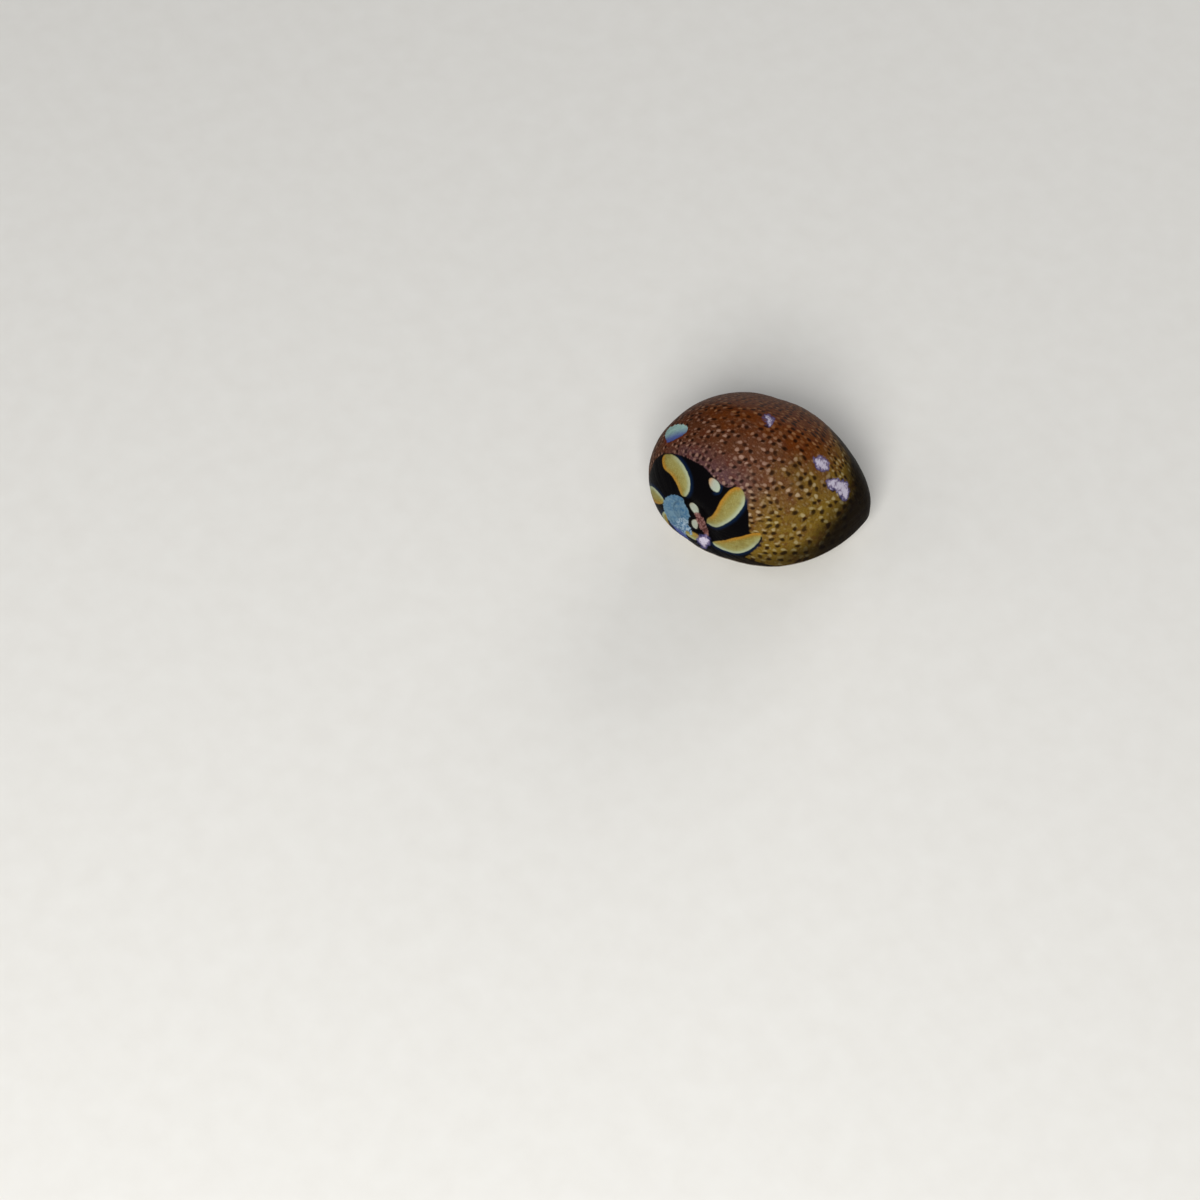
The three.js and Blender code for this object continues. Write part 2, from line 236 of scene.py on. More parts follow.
def whorl_outline(angle, u):
    """Radius and depth below the apex.

    Before the suture the old turns fall away as q to the 1.5. From there to the widest part
    the shoulder is a quarter of a superellipse, and past it the flank narrows as the root of
    1 - eased depth to a power, which is lower on the crown than at the base.
    """
    size = spiral_size(angle)
    radius = LIP_RADIUS * size
    last = spiral_size(np.array(BODY_WHORL_END))
    share = np.clip((size - last) / (1 - last), 0, 1.1)
    widest = AXIS_LENGTH * (BULGE_REAR + (BULGE_FRONT - BULGE_REAR) * share)
    suture, shoulder = SUTURE_RATIO * radius, SHOULDER_DROP * size
    q = np.clip(u / SUTURE_PLACE, 0, 1)
    turn = np.clip((u - SUTURE_PLACE) / (WIDEST_PLACE - SUTURE_PLACE), 0, 1) * np.pi / 2
    out, down = np.sin(turn) ** (2 / ROUND_SHOULDER), np.cos(turn) ** (2 / ROUND_SHOULDER)
    gap = np.where(u < SUTURE_PLACE, q - 1, out) / SUTURE_WIDTH
    groove = SUTURE_DEPTH * size * np.exp(-(gap**2))
    crown = np.clip(np.sin(np.radians(angle)), 0, 1)
    power = ROUND_BASE + (ROUND_CROWN - ROUND_BASE) * crown
    far = np.sin(np.clip((u - WIDEST_PLACE) / (1 - WIDEST_PLACE), 0, 1) * np.pi / 2)
    eased = (np.hypot(far, FLANK_EASE) - FLANK_EASE) / (np.hypot(1, FLANK_EASE) - FLANK_EASE)
    flank = np.sqrt(np.clip(1 - eased**power, 0, 1))
    spire = (suture * q, APEX_DROP + (shoulder - APEX_DROP) * q**1.5 + groove)
    shoulders = (suture + (radius - suture) * out, widest - (widest - shoulder) * down + groove)
    base = (radius * flank, widest + (AXIS_LENGTH - widest) * far)
    before, within = u < SUTURE_PLACE, u < WIDEST_PLACE
    return [np.where(before, a, np.where(within, b, c)) for a, b, c in zip(spire, shoulders, base)]


print("size of the coil a turn back:", round(float(spiral_size(np.array(360 + LIP_ANGLE - 71))), 3))

# %% [markdown]
# ## Where the coil lies
# The snail carries its shell tilted, with the apex behind and to one side and the opening
# flat over the foot. A finished mesh could be turned by hand, but a pattern drawn on it would
# then lose its place. So the formula itself leans the outline by the tilt and turns it over
# the foot, and the opening's plane cuts the coil flat later.

# %% Placing the coil over the foot
AXIS_TILT, APEX_TURN = math.radians(5.4), math.radians(22)
LIP_HEIGHT, APERTURE_DROP = 2.3, 4.7
APEX_PLACE = (-1.1, 9.92)


def place_shell(angle, radius, depth):
    """Front is radius · cos, up is radius · sin, depth runs along the axis; then two turns."""
    turn = np.radians(angle)
    front, up = radius * np.cos(turn), radius * np.sin(turn)
    along = -up * math.sin(AXIS_TILT) - depth * math.cos(AXIS_TILT)
    height = up * math.cos(AXIS_TILT) - depth * math.sin(AXIS_TILT)
    x = -front * math.cos(APEX_TURN) - along * math.sin(APEX_TURN) + APEX_PLACE[0]
    y = -front * math.sin(APEX_TURN) + along * math.cos(APEX_TURN) + APEX_PLACE[1]
    return np.stack([x, y, height + LIP_HEIGHT + APERTURE_DROP], -1)


AROUND, ALONG = 420, 190
angle_grid, u_grid = np.meshgrid(
    LIP_ANGLE + np.arange(AROUND) / AROUND * 360, np.linspace(0, 1, ALONG + 1), indexing="ij"
)
shell_grid = place_shell(angle_grid, *whorl_outline(angle_grid, u_grid))
steps = np.linalg.norm(np.diff(shell_grid, axis=1), axis=2)
reach_grid = np.concatenate([np.zeros((AROUND, 1)), np.cumsum(steps, axis=1)], 1)
print("longest way over the shell in mm:", round(float(reach_grid.max()), 1))

# %% [markdown]
# ## A chart of the shell
# Markings are easiest to draw on a flat chart. Ours has the apex in the middle: the angle is
# the angle round the coil axis, and the distance is how far one walks over the shell from the
# apex, in millimetres. Each marking is an outline of (angle, distance) pairs. We could colour
# the points of the mesh, but their spacing would show as blurred edges. So for each point we
# only store how deep it lies inside the nearest outline, and the material later cuts this
# smooth number sharply.


# %% Signed depth inside an outline
def on_chart(angle, reach):
    """Chart place: reach · cos angle and reach · sin angle."""
    turn = np.radians(angle)
    return np.stack([reach * np.cos(turn), reach * np.sin(turn)], -1)


def rounded(outline):
    """Cuts each corner at a quarter and three quarters of its edges, twice."""
    corners = on_chart(*np.array(outline, float).T)
    for _ in range(2):
        following = np.roll(corners, -1, 0)
        cut = [0.75 * corners + 0.25 * following, 0.25 * corners + 0.75 * following]
        corners = np.stack(cut, 1).reshape(-1, 2)
    return corners


def depth_inside(places, outline):
    """Distance to the nearest edge, positive inside. A ray to the right counts crossings."""
    corners = rounded(outline)
    nearest = np.full(places.shape[:-1], 1e9)
    inside = np.zeros(places.shape[:-1], bool)
    for a, b in zip(corners, np.roll(corners, -1, 0)):
        edge, off = b - a, places - a
        share = np.clip((off @ edge) / (edge @ edge), 0, 1)
        nearest = np.minimum(nearest, np.linalg.norm(off - share[..., None] * edge, axis=-1))
        spans = (a[1] > places[..., 1]) != (b[1] > places[..., 1])
        crossing = a[0] + (places[..., 1] - a[1]) * edge[0] / (edge[1] if edge[1] else 1e-9)
        inside ^= spans & (places[..., 0] < crossing)
    return np.where(inside, nearest, -nearest)


def deepest(places, outlines):
    """The greatest depth over several outlines: their union."""
    return np.max([depth_inside(places, outline) for outline in outlines], axis=0)


square = [(45, 2), (135, 2), (225, 2), (315, 2)]
square_depth = depth_inside(np.zeros((1, 2)), square)[0]
print("depth at the middle of a square 2.83 mm wide:", round(float(square_depth), 2))

# %% [markdown]
# ## Flames and pearly spots
# Against the dark band stand crescent-shaped yellow flames, with a few pearly spots between
# them. Those that the photograph shows are placed by it, point by point. A rule could strew
# them all, but then none would sit where the real one does. The three flames behind, which
# it hides, repeat one shape, made smaller as the coil gets smaller. A flame is painted with two
# unlike sides, one as lit and one as shaded, so we also store the slope of its depth round the
# coil: the depth a little further on, less the depth a little back.

# %% Outlines of flames and spots
CRESCENTS = [
    [(136, 6.25), (124, 6.3), (114, 6.1), (104, 5.6), (94, 4.9), (87, 4.1), (84, 3.2), (92, 2.25),
     (104, 2.2), (108, 3.0), (114, 3.65), (122, 4.35), (136, 4.95)],
    [(9, 2.5), (26, 3.5), (37, 4.3), (46, 5.1), (50, 5.95), (52, 6.75), (51, 7.4), (47, 7.7),
     (40, 7.6), (34, 7.2), (28, 6.4), (22, 5.7), (15, 4.85), (0, 3.75), (-11, 2.8)],
    [(-35, 4.2), (-25, 4.5), (-13, 5.0), (-4, 5.6), (0, 6.25), (4, 6.8), (7, 7.6), (6, 8.3),
     (-3, 8.1), (-10, 7.7), (-18, 7.25), (-26, 6.6), (-33, 5.45), (-37, 4.6)],
    [(190, 5.7), (174, 4.4), (168, 3.4), (168, 2.5), (180, 2.3), (193, 2.8), (200, 3.5),
     (206, 4.9), (200, 5.7)],
]
PEARL = [
    [(72, 5.65), (72, 6.0), (67, 6.25), (61, 6.2), (57, 5.95), (55, 5.5), (60, 5.2), (66, 5.25)],
    [(78, 1.8), (66, 2.2), (48, 2.2), (31, 2.0), (31, 1.65), (52, 1.5)],
    [(1, 1.1), (13, 1.6), (-10, 1.85), (-38, 2.15), (-43, 1.8), (-27, 1.3)],
]
LIKE_SIZE, SIDE_STEP = 0.9, 3.0
CRESCENT_LIKE = [(-14, 3.6), (-3, 4.9), (10, 6.0), (16, 7.2), (13, 8.1), (6, 8.1), (-4, 7.2),
                 (-14, 5.9), (-21, 4.6), (-22, 3.8)]
for flame_angle in (228, 262, 294):
    share = float(spiral_size(np.array(min(flame_angle, BODY_WHORL_END)))) / LIKE_SIZE
    CRESCENTS.append([(flame_angle + a, reach * share) for a, reach in CRESCENT_LIKE])
chart = on_chart(angle_grid, reach_grid)
crescent, pearl = deepest(chart, CRESCENTS + PEARL), deepest(chart, PEARL)
ahead = on_chart(angle_grid + SIDE_STEP, reach_grid)
back = on_chart(angle_grid - SIDE_STEP, reach_grid)
crescent_side = deepest(ahead, CRESCENTS + PEARL) - deepest(back, CRESCENTS + PEARL)
print("deepest point inside a crescent in mm:", round(float(crescent.max()), 2))

# %% [markdown]
# ## Band, wear and suture
# A black band follows the suture, the seam between two turns, and its outer edge waves
# between the flames. The oldest part of the shell is eaten by soft water down to chalk: a
# blue-grey oval, and a few lost flakes further out. The suture beside the apex shows pink
# where it is worn. The band's edge goes once round the shell, so it is a height over the
# angle, and the worn places are outlines as the flames are.

# %% Outlines of band and wear
BAND_EDGE = [(-24, 7.55), (-15, 7.8), (-7, 8.1), (2, 8.35), (4, 8.1), (5, 7.5), (7, 7.1),
             (14, 7.05), (22, 7.2), (29, 7.3), (35, 7.45), (41, 7.55), (48, 7.55), (52, 7.25),
             (54, 6.65), (59, 6.3), (66, 6.25), (72, 6.25), (83, 6.4), (90, 6.3), (111, 6.3),
             (134, 6.35), (150, 6.1), (166, 5.6), (186, 5.7), (204, 5.5), (222, 4.9), (240, 5.0),
             (262, 4.4), (280, 4.6), (300, 5.4), (320, 6.7), (336, 7.55)]
CHALK = [
    [(184, 2.45), (164, 2.4), (144, 2.35), (124, 2.3), (109, 2.0), (89, 1.55), (62, 1.2), (27, 1.0),
     (-23, 0.85), (-55, 1.35), (-64, 1.9), (-61, 2.7), (-66, 2.9), (-70, 2.3), (-77, 2.2),
     (-79, 3.4), (-76, 3.9), (-83, 4.1), (-97, 3.8), (-111, 2.8), (-130, 2.6), (-152, 2.5)],
    [(140, 8.5), (140, 9.1), (134, 9.3), (124, 9.4), (115, 9.3), (112, 8.7), (116, 8.1), (122, 7.7),
     (130, 7.3), (135, 7.8)],
]
LILAC = [
    [(38, 15.0), (37, 15.9), (34, 16.5), (30, 16.8), (27, 16.3), (29, 15.5), (34, 14.9)],
    [(25, 15.4), (23, 16.3), (20, 17.15), (16, 18.1), (12, 18.3), (8, 18.1), (7, 17.3), (11, 16.6),
     (16, 16.4), (19, 15.55)],
    [(-57, 3.0), (-42, 3.0), (-34, 3.55), (-37, 4.2), (-49, 4.65), (-63, 4.8), (-62, 3.9)],
    [(75, 14.1), (73, 14.8), (69, 14.8), (66, 14.2), (66, 13.5), (70, 13.4)],
]
PINK = [
    [(43, 1.6), (36, 2.05), (8, 2.4), (-28, 3.1), (-36, 3.75), (-45, 3.3), (-25, 2.1), (12, 1.6)],
]
edge_angle, edge_reach = np.array(BAND_EDGE).T
edge = np.interp(angle_grid, edge_angle, edge_reach)
band = np.where(u_grid < SUTURE_PLACE, 1.0, np.clip(edge - reach_grid, -3, 3))
chalk, lilac, pink = (deepest(chart, group) for group in (CHALK, LILAC, PINK))
print("share of the shell's points inside the band:", round(float((band > 0).mean()), 3))

# %% [markdown]
# ## Relief
# Up close the shell isn't smooth. It carries low ridges, one for each spell of growth, which
# run from the apex to the rim, and where it is worn its surface is pitted and sunk a little.
# A bump in the material would only fake this, and the outline would stay smooth. So we push
# each point along its own outward direction by the sum of both.

# %% Growth ridges and worn hollows
RIDGE_HEIGHT, WEAR_DEPTH = 0.018, 0.09


def ring_noise(angle, knots, seed):
    """Random heights at equal angles, blended smoothly and closed after one turn."""
    heights = np.random.default_rng(seed).uniform(-1, 1, knots)
    place = (angle - LIP_ANGLE) / 360 * knots
    base = np.floor(place).astype(int)
    share = smooth(place - base)
    return heights[base % knots] * (1 - share) + heights[(base + 1) % knots] * share


def outward_directions(grid):
    """Cross product of the grid's two slopes, pointed away from the middle."""
    around = np.roll(grid, -1, 0) - np.roll(grid, 1, 0)
    normal = np.cross(around, np.gradient(grid, axis=1))
    normal /= np.maximum(np.linalg.norm(normal, axis=-1, keepdims=True), 1e-9)
    normal[:, 0], normal[:, -1] = normal[:, 1].mean(0), normal[:, -2].mean(0)
    return normal * np.sign((normal * (grid - grid.mean((0, 1)))).sum())


ridges = ring_noise(angle_grid, 60, 3) + 0.6 * ring_noise(angle_grid, 140, 4)
ridges = ridges * smooth((reach_grid - 1.5) / 3) * spiral_size(angle_grid)
worn = np.maximum(smooth(chalk / 0.25 + 0.5), smooth(lilac / 0.2 + 0.5))
pits = worn * (0.7 + 0.5 * soft_noise(shell_grid, 0.35, 5))
relief = RIDGE_HEIGHT * ridges - WEAR_DEPTH * pits
shell_grid = shell_grid + relief[..., None] * outward_directions(shell_grid)
print("relief in mm:", round(float(relief.min()), 3), "to", round(float(relief.max()), 3))

# %% [markdown]
# ## The dome's mesh
# The mesh needs more than points. The material wants the chart's numbers, one for each point,
# and a map that says how far round and how far across each corner of a face lies. The map
# could be kept at the points too, but then the faces between the end of the turn and its start
# would squeeze the whole map into one strip. A corner has its own place on the map, so there
# the map can go on to 1 while the next face begins at 0.

# %% Mesh, map and chart numbers
CHART_FIELDS = {
    "band": band, "crescent": crescent, "crescent_side": crescent_side, "pearl": pearl,
    "chalk": chalk, "lilac": lilac, "pink": pink,
}


def per_point(field):
    """A grid of numbers in the order of the closed mesh's points."""
    return np.concatenate([field[:, 1:-1].ravel(), [field[:, 0].mean(), field[:, -1].mean()]])


points = closed_points(shell_grid)
corners, sizes = ring_faces(AROUND, ALONG)
column = np.arange(AROUND)[:, None]
row = np.arange(ALONG - 2)[None, :] + 1
across = np.stack([column, column + 1, column + 1, column], -1) + 0 * row[..., None]
onward = np.stack([row, row, row + 1, row + 1], -1) + 0 * column[..., None]
column = column[:, 0]
first = np.stack([column + 0.5, column + 1, column], -1)
last = np.stack([column, column + 1, column + 0.5], -1)
turns = np.concatenate([across.ravel(), first.ravel(), last.ravel()]) / AROUND
ways = np.concatenate([
    onward.ravel(), np.tile([0, 1, 1], AROUND), np.tile([ALONG - 1, ALONG - 1, ALONG], AROUND)
]) / ALONG
dome = make_mesh("dome", points, corners, sizes)
layer = dome.uv_layers.new(name="shell_map")
layer.data.foreach_set("uv", np.stack([turns, ways], -1).astype(np.float32).ravel())
for name, field in CHART_FIELDS.items():
    dome.attributes.new(name, "FLOAT", "POINT").data.foreach_set("value", per_point(field))
print("dome before the cut:", len(dome.vertices), "points")

# %% [markdown]
# ## Cutting the opening
# The coil's skin is closed, and the opening is a flat cut through it. A real rim isn't sharp:
# it turns inwards in a small round. A Boolean could cut the opening, but we need the edge of
# the cut as a clean ring. So we cut with a plane, a little above the opening's own, and drop
# what lies below it.

# %% Cut the dome
LIP_ROUND = 0.3
cutter = bmesh.new()
cutter.from_mesh(dome)
bmesh.ops.recalc_face_normals(cutter, faces=cutter.faces)
bmesh.ops.bisect_plane(
    cutter, geom=cutter.verts[:] + cutter.edges[:] + cutter.faces[:], dist=1e-7,
    plane_co=(0, 0, (LIP_HEIGHT + LIP_ROUND) * MM), plane_no=(0, 0, 1), clear_inner=True,
)
cutter.to_mesh(dome)
cutter.free()
print("dome after the cut:", len(dome.vertices), "points")

# %% [markdown]
# ## The ring of the cut
# The rest of the shell hangs on the edge of the cut, so we need its points in order. Following
# its edges one by one would do, but the ring is star-shaped seen from above, so sorting its
# points by their direction from the middle is shorter. The cut mesh is read back as arrays,
# because a loop over Blender's own items is slow.


# %% Points of the ring in order
def read(collection, field, width=1, kind=np.float32):
    """One field of every item of a mesh as an array."""
    values = np.empty(len(collection) * width, kind)
    collection.foreach_get(field, values)
    return values.reshape(-1, width) if width > 1 else values


outer_points = read(dome.vertices, "co", 3).astype(float) / MM
outer_corners = read(dome.loops, "vertex_index", kind=np.int32)
outer_sizes = read(dome.polygons, "loop_total", kind=np.int32)
outer_uv = read(dome.uv_layers["shell_map"].data, "uv", 2)
on_cut = np.flatnonzero(np.abs(outer_points[:, 2] - LIP_HEIGHT - LIP_ROUND) < 1e-3)
middle = outer_points[on_cut, :2].mean(0)
away = outer_points[on_cut, :2] - middle
ring = on_cut[np.argsort(np.arctan2(away[:, 1], away[:, 0]))]
rim = outer_points[ring]
print("ring of the cut:", len(ring), "points")

# %% [markdown]
# ## Lip, deck and hollow
# Inside the rim a nerite has a flat deck at the back, with blunt teeth along its edge, and in
# front a half-moon hollow where the body goes in. Both could be carved from a solid, but a
# thin rim tears easily then. We carry the ring inwards instead, as a grid: a column for each
# of its points, and rows that go inwards. The height is first the round lip, then the deck or
# the hollow, whose wall rises in an S so that it stays inside the dome. A small wave along the
# deck's edge makes the teeth.

# %% The underside
DECK_EDGE, APERTURE_DEPTH, LIP_WALL, HOLLOW_WALL = 1.2, 4.2, 0.9, 2.2
DECK_STEP, TOOTH_HEIGHT, TOOTH_WIDTH = 0.7, 0.13, 0.9
TEETH_MIDDLE, TEETH_SPREAD, INNER_CROWDING = -9.0, 3.2, 1.3


def front_of(x, y):
    """Distance in front of the coil axis, seen from above."""
    return -(x - APEX_PLACE[0]) * math.cos(APEX_TURN) - (y - APEX_PLACE[1]) * math.sin(APEX_TURN)


def along_of(x, y):
    """Distance along the coil axis, seen from above, with the apex at 0."""
    return -(x - APEX_PLACE[0]) * math.sin(APEX_TURN) + (y - APEX_PLACE[1]) * math.cos(APEX_TURN)


round_turn = np.linspace(0, np.pi / 2, 7)[1:]
lip_inset = LIP_ROUND * (1 - np.cos(round_turn))
lip_height = LIP_HEIGHT + LIP_ROUND * (1 - np.sin(round_turn))
inward = middle - rim[:, :2]
length = np.linalg.norm(inward, axis=1)
inner_share = np.linspace(0, 1, 41)[1:-1] ** INNER_CROWDING
inset = np.concatenate(
    [np.tile(lip_inset, (len(rim), 1)), LIP_ROUND + inner_share * (length[:, None] - LIP_ROUND)], 1
)
flat = rim[:, None, :2] + inset[..., None] * (inward / length[:, None])[:, None]
front, along = front_of(flat[..., 0], flat[..., 1]), along_of(flat[..., 0], flat[..., 1])
row_of_teeth = np.exp(-(((along - TEETH_MIDDLE) / TEETH_SPREAD) ** 2))
teeth = TOOTH_HEIGHT * np.cos(along / TOOTH_WIDTH * 2 * np.pi) * row_of_teeth
rise = smooth((inset - LIP_WALL) / HOLLOW_WALL) * smooth((front - DECK_EDGE - teeth) / DECK_STEP)
height = LIP_HEIGHT + APERTURE_DEPTH * rise
height[:, : len(lip_height)] = lip_height
under = np.concatenate([flat, height[..., None]], -1)
centre = np.array([[*middle, height[:, -1].mean()]])
print("hollow up to", round(float(height.max()), 2), "mm")

# %% [markdown]
# ## One closed shell
# Last, the dome and the underside become one mesh. Two meshes could be joined and their
# doubles merged, but here the ring's own points are the first row of the underside, so nothing
# has to be merged. The dome keeps its map and its chart numbers. The underside gets a map of
# its own and the second material.

# %% Join the shell
rows = under.shape[1]
start = len(outer_points)
number = np.concatenate([ring[:, None], start + np.arange(under[..., 0].size).reshape(-1, rows)], 1)
after = np.roll(number, -1, 0)
squares = np.stack([number[:, :-1], number[:, 1:], after[:, 1:], after[:, :-1]], -1)
last_point = start + under[..., 0].size
fan = np.stack([number[:, -1], np.full(len(ring), last_point), after[:, -1]], -1)
shell_points = np.concatenate([outer_points, under.reshape(-1, 3), centre])
under_corners = np.concatenate([squares.ravel(), fan.ravel()])
under_sizes = np.concatenate([np.full(squares.size // 4, 4), np.full(len(ring), 3)])
sinks = np.cross(under[1:, 1] - under[:-1, 1], under[:-1, 2] - under[:-1, 1])[:, 2].sum()
if sinks > 0:
    under_corners = outwards(-shell_points, under_corners, under_sizes)
shell_corners = np.concatenate([outer_corners, under_corners])
shell_sizes = np.concatenate([outer_sizes, under_sizes])
shell_mesh = make_mesh("shell_skin", shell_points, shell_corners, shell_sizes)
under_uv = np.stack([shell_points[under_corners, 0], shell_points[under_corners, 1]], -1) / 20
layer = shell_mesh.uv_layers.new(name="shell_map")
layer.data.foreach_set("uv", np.concatenate([outer_uv, under_uv]).astype(np.float32).ravel())
extra = len(shell_points) - start
for name in CHART_FIELDS:
    values = np.concatenate([read(dome.attributes[name].data, "value"), np.full(extra, -3)])
    shell_mesh.attributes.new(name, "FLOAT", "POINT").data.foreach_set("value", values)
is_under = np.arange(len(shell_sizes)) >= len(outer_sizes)
shell_mesh.polygons.foreach_set("material_index", is_under.astype(np.int32))
shell = add_piece("shell_dome", shell_mesh, "shell", "shell")
print("volume test, above 0 when faces look outwards:",
      round(volume(shell_points - shell_points.mean(0), shell_corners, shell_sizes) / 6, 1))

# %% [markdown]
# ## The soft body
# Foot, head, feelers and eye stalks are one wet skin on the living snail, with no seams. It
# could be sculpted as one, but the sizes of its parts are given by the packed solids. So each
# part is its own closed surface that runs a little into its neighbour, and later a voxel
# remesh melts them into one skin.

# %% Foot and head
SOLE_LENGTH, SOLE_WIDTH, SOLE_CENTRE = 13.0, 12.0, (0.2, -0.4)
FOOT_EDGE, FOOT_RIM, RIM_START, TOP_SHARE, EDGE_WAVE = 0.25, 0.9, 0.95, 0.72, 0.008
HUMP_LENGTH, HUMP_WIDTH, HUMP_CENTRE, HUMP_TOP = 9.6, 5.8, (-2.1, -0.9), 3.1
HEAD_WIDTH, HEAD_HEIGHT, HEAD_X, HEAD_BACK, HEAD_FRONT = 4.0, 1.6, 1.2, -2.4, -9.4
HEAD_FLOOR_GAP, SNOUT_NOTCH, NOTCH_WIDTH = 0.35, 0.35, 0.55
END_POWER, SIDE_POWER, NECK_SHARE = 3.2, 2.4, 0.86


def closed_grid(around, along):
    """Turn from 0 to 2 pi along one side of the grid, and the way from pole to pole as 0 to 1."""
    turn = np.arange(around) / around * 2 * np.pi
    return np.meshgrid(turn, np.linspace(0, 1, along), indexing="ij")


def foot_surface():
    """An oval sole. From its middle on top, the back falls as (1 - reach cubed) to the 0.6."""
    turn, u = closed_grid(180, 110)
    top = u < TOP_SHARE
    above = np.sin(np.clip(u / TOP_SHARE, 0, 1) * np.pi / 2)
    below = RIM_START * (1 - (u - TOP_SHARE) / (1 - TOP_SHARE))
    reach = np.where(top, above, below)
    wave = 1 + EDGE_WAVE * reach**6 * (np.cos(9 * turn) + 0.7 * np.cos(14 * turn + 1))
    x = SOLE_CENTRE[0] + np.cos(turn) * reach * wave * SOLE_WIDTH / 2
    y = SOLE_CENTRE[1] + np.sin(turn) * reach * wave * SOLE_LENGTH / 2
    far = np.hypot((x - HUMP_CENTRE[0]) / HUMP_WIDTH, (y - HUMP_CENTRE[1]) / HUMP_LENGTH) * 2
    rim = FOOT_EDGE + FOOT_RIM * (1 - np.minimum(reach, 1) ** 3) ** 0.6
    back = rim + (HUMP_TOP - FOOT_EDGE - FOOT_RIM) * smooth(1.6 * (1 - far))
    return np.stack([x, y, np.where(top, back, 0)], -1)


def head_surface():
    """Oval sections, sized as a blunt superellipse along the head; a notch at the snout."""
    turn, u = closed_grid(120, 110)
    along = -np.cos(u * np.pi)
    neck = NECK_SHARE + (1 - NECK_SHARE) * smooth((along + 0.2) / 0.8)
    blunt = (1 - np.abs(along) ** END_POWER) ** (1 / SIDE_POWER) * neck
    x = np.cos(turn) * blunt * HEAD_WIDTH / 2
    z = np.sin(turn) * blunt * HEAD_HEIGHT / 2
    notch = SNOUT_NOTCH * smooth(along) * np.exp(-((x / NOTCH_WIDTH) ** 2))
    y = (HEAD_BACK + HEAD_FRONT) / 2 - along * (HEAD_BACK - HEAD_FRONT) / 2 + notch
    return np.stack([HEAD_X + x, y, HEAD_FLOOR_GAP + HEAD_HEIGHT / 2 + z], -1)


print("head from", HEAD_FRONT, "to", HEAD_BACK, "mm")

# %% [markdown]
# ## Feelers and eye stalks
# A feeler is a cone of muscle, ringed like a worm and carried in a loose curve. A bevelled
# curve could make it, but not its rings, so we carry a shrinking circle along a cubic path
# ourselves. An eye stalk is the same, short and stout, and ends round the eye.

# %% Feelers and stalks
FEELER_ROOT, FEELER_TIP, FEELER_RINGS = 0.34, 0.14, 0.05
FEELER_START = {"left": (2.7, -8.1, 1.25), "right": (-0.3, -8.1, 1.25)}
FEELER_REACH = {"left": (2.55, -2.1, 0.3), "right": (-0.8, -2.1, 0.2)}
STALK_ROOT, STALK_RADIUS, STALK_LENGTH, STALK_LEAN = 0.56, 0.46, 2.05, (1, -0.2, 0.15)
STALK_PLACE, ROUND_SHARE, RING_COUNT = (0.9, -7.1, 1.2), 0.1, 120


def limb_surface(path, root, tip, rings=0.0):
    """A circle carried along a cubic through the path's four points, rounded at both ends."""
    path = np.array(path, float)
    spans = np.linalg.norm(np.diff(path, axis=0), axis=1)
    at = np.concatenate([[0], np.cumsum(spans)]) / spans.sum()
    turn, u = closed_grid(40, 100)
    terms = [np.polyfit(at, path[:, axis], len(path) - 1) for axis in range(3)]
    centre = np.stack([np.polyval(term, u) for term in terms], -1)
    ahead = np.stack([np.polyval(np.polyder(term), u) for term in terms], -1)
    ahead /= np.linalg.norm(ahead, axis=-1, keepdims=True)
    side = np.cross((0, 0, 1), ahead)
    side /= np.linalg.norm(side, axis=-1, keepdims=True)
    above = np.cross(ahead, side)
    near_end = 1 - np.minimum(u, 1 - u) / ROUND_SHARE
    ends = np.sqrt(1 - np.clip(near_end, 0, 1) ** 2)
    radius = (root + (tip - root) * u) * ends * (1 + rings * np.cos(u * RING_COUNT))
    circle = np.cos(turn)[..., None] * side + np.sin(turn)[..., None] * above
    return centre + radius[..., None] * circle


def feeler(name, side):
    """From a root inside the head over a bend to the tip."""
    start, reach = np.array(FEELER_START[name]), np.array(FEELER_REACH[name])
    root, bend = start + (-side * 0.9, 0.7, 0), start + reach * (0.62, 0.45, 0.7)
    path = [root, start, bend, start + reach]
    return limb_surface(path, FEELER_ROOT, FEELER_TIP, FEELER_RINGS)


def stalk_lean(side):
    """The stalk's direction, mirrored for the right side, made one long."""
    return np.array((side * STALK_LEAN[0], *STALK_LEAN[1:])) / np.linalg.norm(STALK_LEAN)


def stalk(side):
    """A stout straight limb from inside the head to just behind the eye."""
    start = np.array((HEAD_X + side * STALK_PLACE[0], *STALK_PLACE[1:]))
    path = [start + stalk_lean(side) * STALK_LENGTH * s for s in (0, 0.3, 0.7, 1)]
    return limb_surface(path, STALK_ROOT, STALK_RADIUS)


print("feelers reach in mm:", FEELER_REACH)

# %% [markdown]
# ## The mantle
# The soft body fills the shell. Only the part that looks out of the opening is seen, so we
# make that part: a pillow in the hollow. Rays from the hollow's middle are followed until they
# come too near its wall, and the pillow is drawn out to where they stop.

# %% The pillow in the hollow
HOLLOW_MIDDLE, MANTLE_GAP, SIDE_GAP = (-3.6, 0.4), 0.45, 0.35
rim_turn = np.arctan2(rim[:, 1] - middle[1], rim[:, 0] - middle[0])


def inset_at(x, y):
    """How far a point lies inside the ring of the cut, measured towards its middle."""
    turn = np.arctan2(y - middle[1], x - middle[0])
    to_rim = np.interp(turn, rim_turn, length, period=2 * np.pi)
    return to_rim - np.hypot(x - middle[0], y - middle[1])


